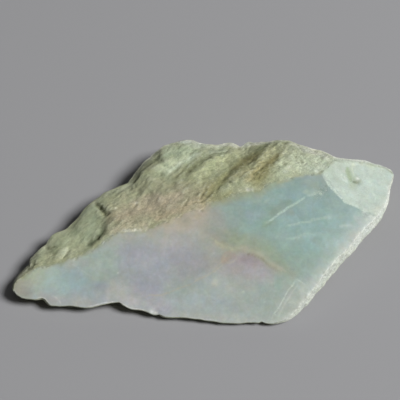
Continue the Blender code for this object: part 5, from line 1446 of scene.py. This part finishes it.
def make_stone():
    grid, labels, s, at = rings()
    grid, masks = carve(grid, labels, s, at)
    n_s, n_r, _ = grid.shape
    tree = seen(grid)
    flat = grid.reshape(-1, 3)
    groove = 0.65 * hollowness(grid, 3) * 3.0 + 0.35 * hollowness(grid, 14)
    broad = np.dstack([blurred(flat[:, k], n_s, n_r, 24).reshape(n_s, n_r) for k in range(3)])
    masks["broad"] = np.clip(normals(broad).reshape(-1, 3) @ LIGHT, 0.62, 1.0)
    tint = paint(flat, masks, tree)
    veins = vein_maps(flat, tree)
    light = lit(flat, masks)[:, None]

    left, left_tip = dome(grid[0], -1)
    right, right_tip = dome(grid[-1], 1)
    points = np.vstack([flat] + left + right + [left_tip[None], right_tip[None]])
    points[:, 2] = np.maximum(points[:, 2], 0.0)
    points[:, 0] += CENTRE_SHIFT[0]
    points[:, 1] += CENTRE_SHIFT[1]
    quads = [ring_faces(n_s, n_r)]
    j = np.arange(n_r)
    k = (j + 1) % n_r
    n_grid = n_s * n_r
    order = [0, *range(n_grid, n_grid + CAP_STEPS * n_r, n_r)]
    for a, b in zip(order[:-1], order[1:]):
        quads.append(np.stack((a + k, a + j, b + j, b + k), axis=1))
    last_left = order[-1]
    order = [(n_s - 1) * n_r, *range(n_grid + CAP_STEPS * n_r, n_grid + 2 * CAP_STEPS * n_r, n_r)]
    for a, b in zip(order[:-1], order[1:]):
        quads.append(np.stack((a + j, a + k, b + k, b + j), axis=1))
    last_right = order[-1]
    tips = n_grid + 2 * CAP_STEPS * n_r
    faces = np.vstack(quads).tolist()
    faces += [(int(last_left + k[i]), int(last_left + j[i]), tips) for i in range(n_r)]
    faces += [(int(last_right + j[i]), int(last_right + k[i]), tips + 1) for i in range(n_r)]

    mesh = bpy.data.meshes.new("jadeite_stone")
    mesh.from_pydata((points * MM).tolist(), [], faces)
    mesh.validate()
    mesh.update()

    def all_points(values):
        values = np.asarray(values, float).reshape(n_s, n_r, -1)
        caps = [values[0]] * CAP_STEPS + [values[-1]] * CAP_STEPS
        ends = [values[0].mean(axis=0)[None], values[-1].mean(axis=0)[None]]
        return np.vstack([values.reshape(n_grid, -1)] + caps + ends)

    def store(name, values):
        a = mesh.attributes.new(name, "FLOAT", "POINT")
        a.data.foreach_set("value", all_points(values)[:, 0].astype(np.float32))

    store("polished", masks["polished"])
    store("strip", masks["strip"])
    store("sugar", masks["sugar"])
    store("grainy", grains(flat, tree))
    store("calm", masks["calm"])
    # groove: how hollow the surface is; the material darkens hollows with stain and painted shade and lightens crests
    # with a painted highlight
    store("groove", groove + 0.10 * masks["dig"])

    def store_colour(name, values):
        a = mesh.attributes.new(name, "FLOAT_COLOR", "POINT")
        rgba = np.column_stack((all_points(values), np.ones(len(points))))
        a.data.foreach_set("color", rgba.astype(np.float32).ravel())

    store_colour("tint", tint)
    for g, (data, shade) in enumerate(veins):
        a = mesh.attributes.new(f"vein_{g}", "FLOAT_VECTOR", "POINT")
        a.data.foreach_set("vector", all_points(data).astype(np.float32).ravel())
        store_colour(f"shade_{g}", shade / light)
    mesh.polygons.foreach_set("use_smooth", np.ones(len(mesh.polygons), bool))
    mesh.materials.append(stone_material(range(len(veins))))
    stone = bpy.data.objects.new("jadeite_stone", mesh)
    bpy.context.scene.collection.objects.link(stone)
    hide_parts("jadeite")
    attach(stone, "root")
    return stone


# ------------------------------------------------------------ floor and light
def floor():
    mesh = bpy.data.meshes.new("floor")
    r = 3.0
    mesh.from_pydata([(-r, -r, -0.00004), (r, -r, -0.00004), (r, r, -0.00004), (-r, r, -0.00004)], [], [(0, 1, 2, 3)])
    obj = bpy.data.objects.new("floor", mesh)
    bpy.context.scene.collection.objects.link(obj)
    mat = bpy.data.materials.new("floor_look")
    mat.use_nodes = True
    shader = mat.node_tree.nodes["Principled BSDF"]
    shader.inputs["Base Color"].default_value = (0.385, 0.385, 0.396, 1.0)
    shader.inputs["Roughness"].default_value = 0.9
    shader.inputs["Specular IOR Level"].default_value = 0.1
    mesh.materials.append(mat)


def area_light(name, towards, distance, size, power, colour=(1.0, 1.0, 1.0)):
    """A soft lamp that shines at the stone from the direction `towards`."""
    data = bpy.data.lights.new(name, "AREA")
    data.shape = "DISK"
    data.size = size
    data.energy = power
    data.color = colour
    obj = bpy.data.objects.new(name, data)
    d = Vector(towards).normalized()
    obj.location = d * distance
    obj.rotation_euler = (-d).to_track_quat("-Z", "Y").to_euler()
    bpy.context.scene.collection.objects.link(obj)


def camera():
    data = bpy.data.cameras.new("camera")
    data.sensor_width = 36.0
    data.sensor_fit = "HORIZONTAL"
    data.lens = 36.0 * FOCAL / 400.0
    data.clip_start, data.clip_end = 0.01, 20.0
    obj = bpy.data.objects.new("camera", data)
    obj.location = (
        CENTRE_SHIFT[0] * MM,
        (-EYE_DISTANCE * COS_E + CENTRE_SHIFT[1]) * MM,
        EYE_DISTANCE * SIN_E * MM,
    )
    obj.rotation_euler = (math.pi / 2 - ELEVATION, 0.0, 0.0)
    bpy.context.scene.collection.objects.link(obj)
    bpy.context.scene.camera = obj


def world():
    w = bpy.data.worlds.new("soft_room")
    w.use_nodes = True
    back = w.node_tree.nodes["Background"]
    back.inputs["Color"].default_value = (1.0, 1.0, 1.0, 1.0)
    back.inputs["Strength"].default_value = 0.012
    bpy.context.scene.world = w


make_stone()
floor()
azimuth, elevation = math.radians(-11), math.radians(48)
area_light(
    "key",
    (math.cos(elevation) * math.cos(azimuth), math.cos(elevation) * math.sin(azimuth), math.sin(elevation)),
    2.4, 0.95, 58.4,
)
area_light("overhead", (0.0, 0.05, 1.0), 2.5, 3.0, 4.2)
camera()
world()
bpy.context.scene.view_settings.view_transform = "Standard"
bpy.context.scene.view_settings.look = "None"
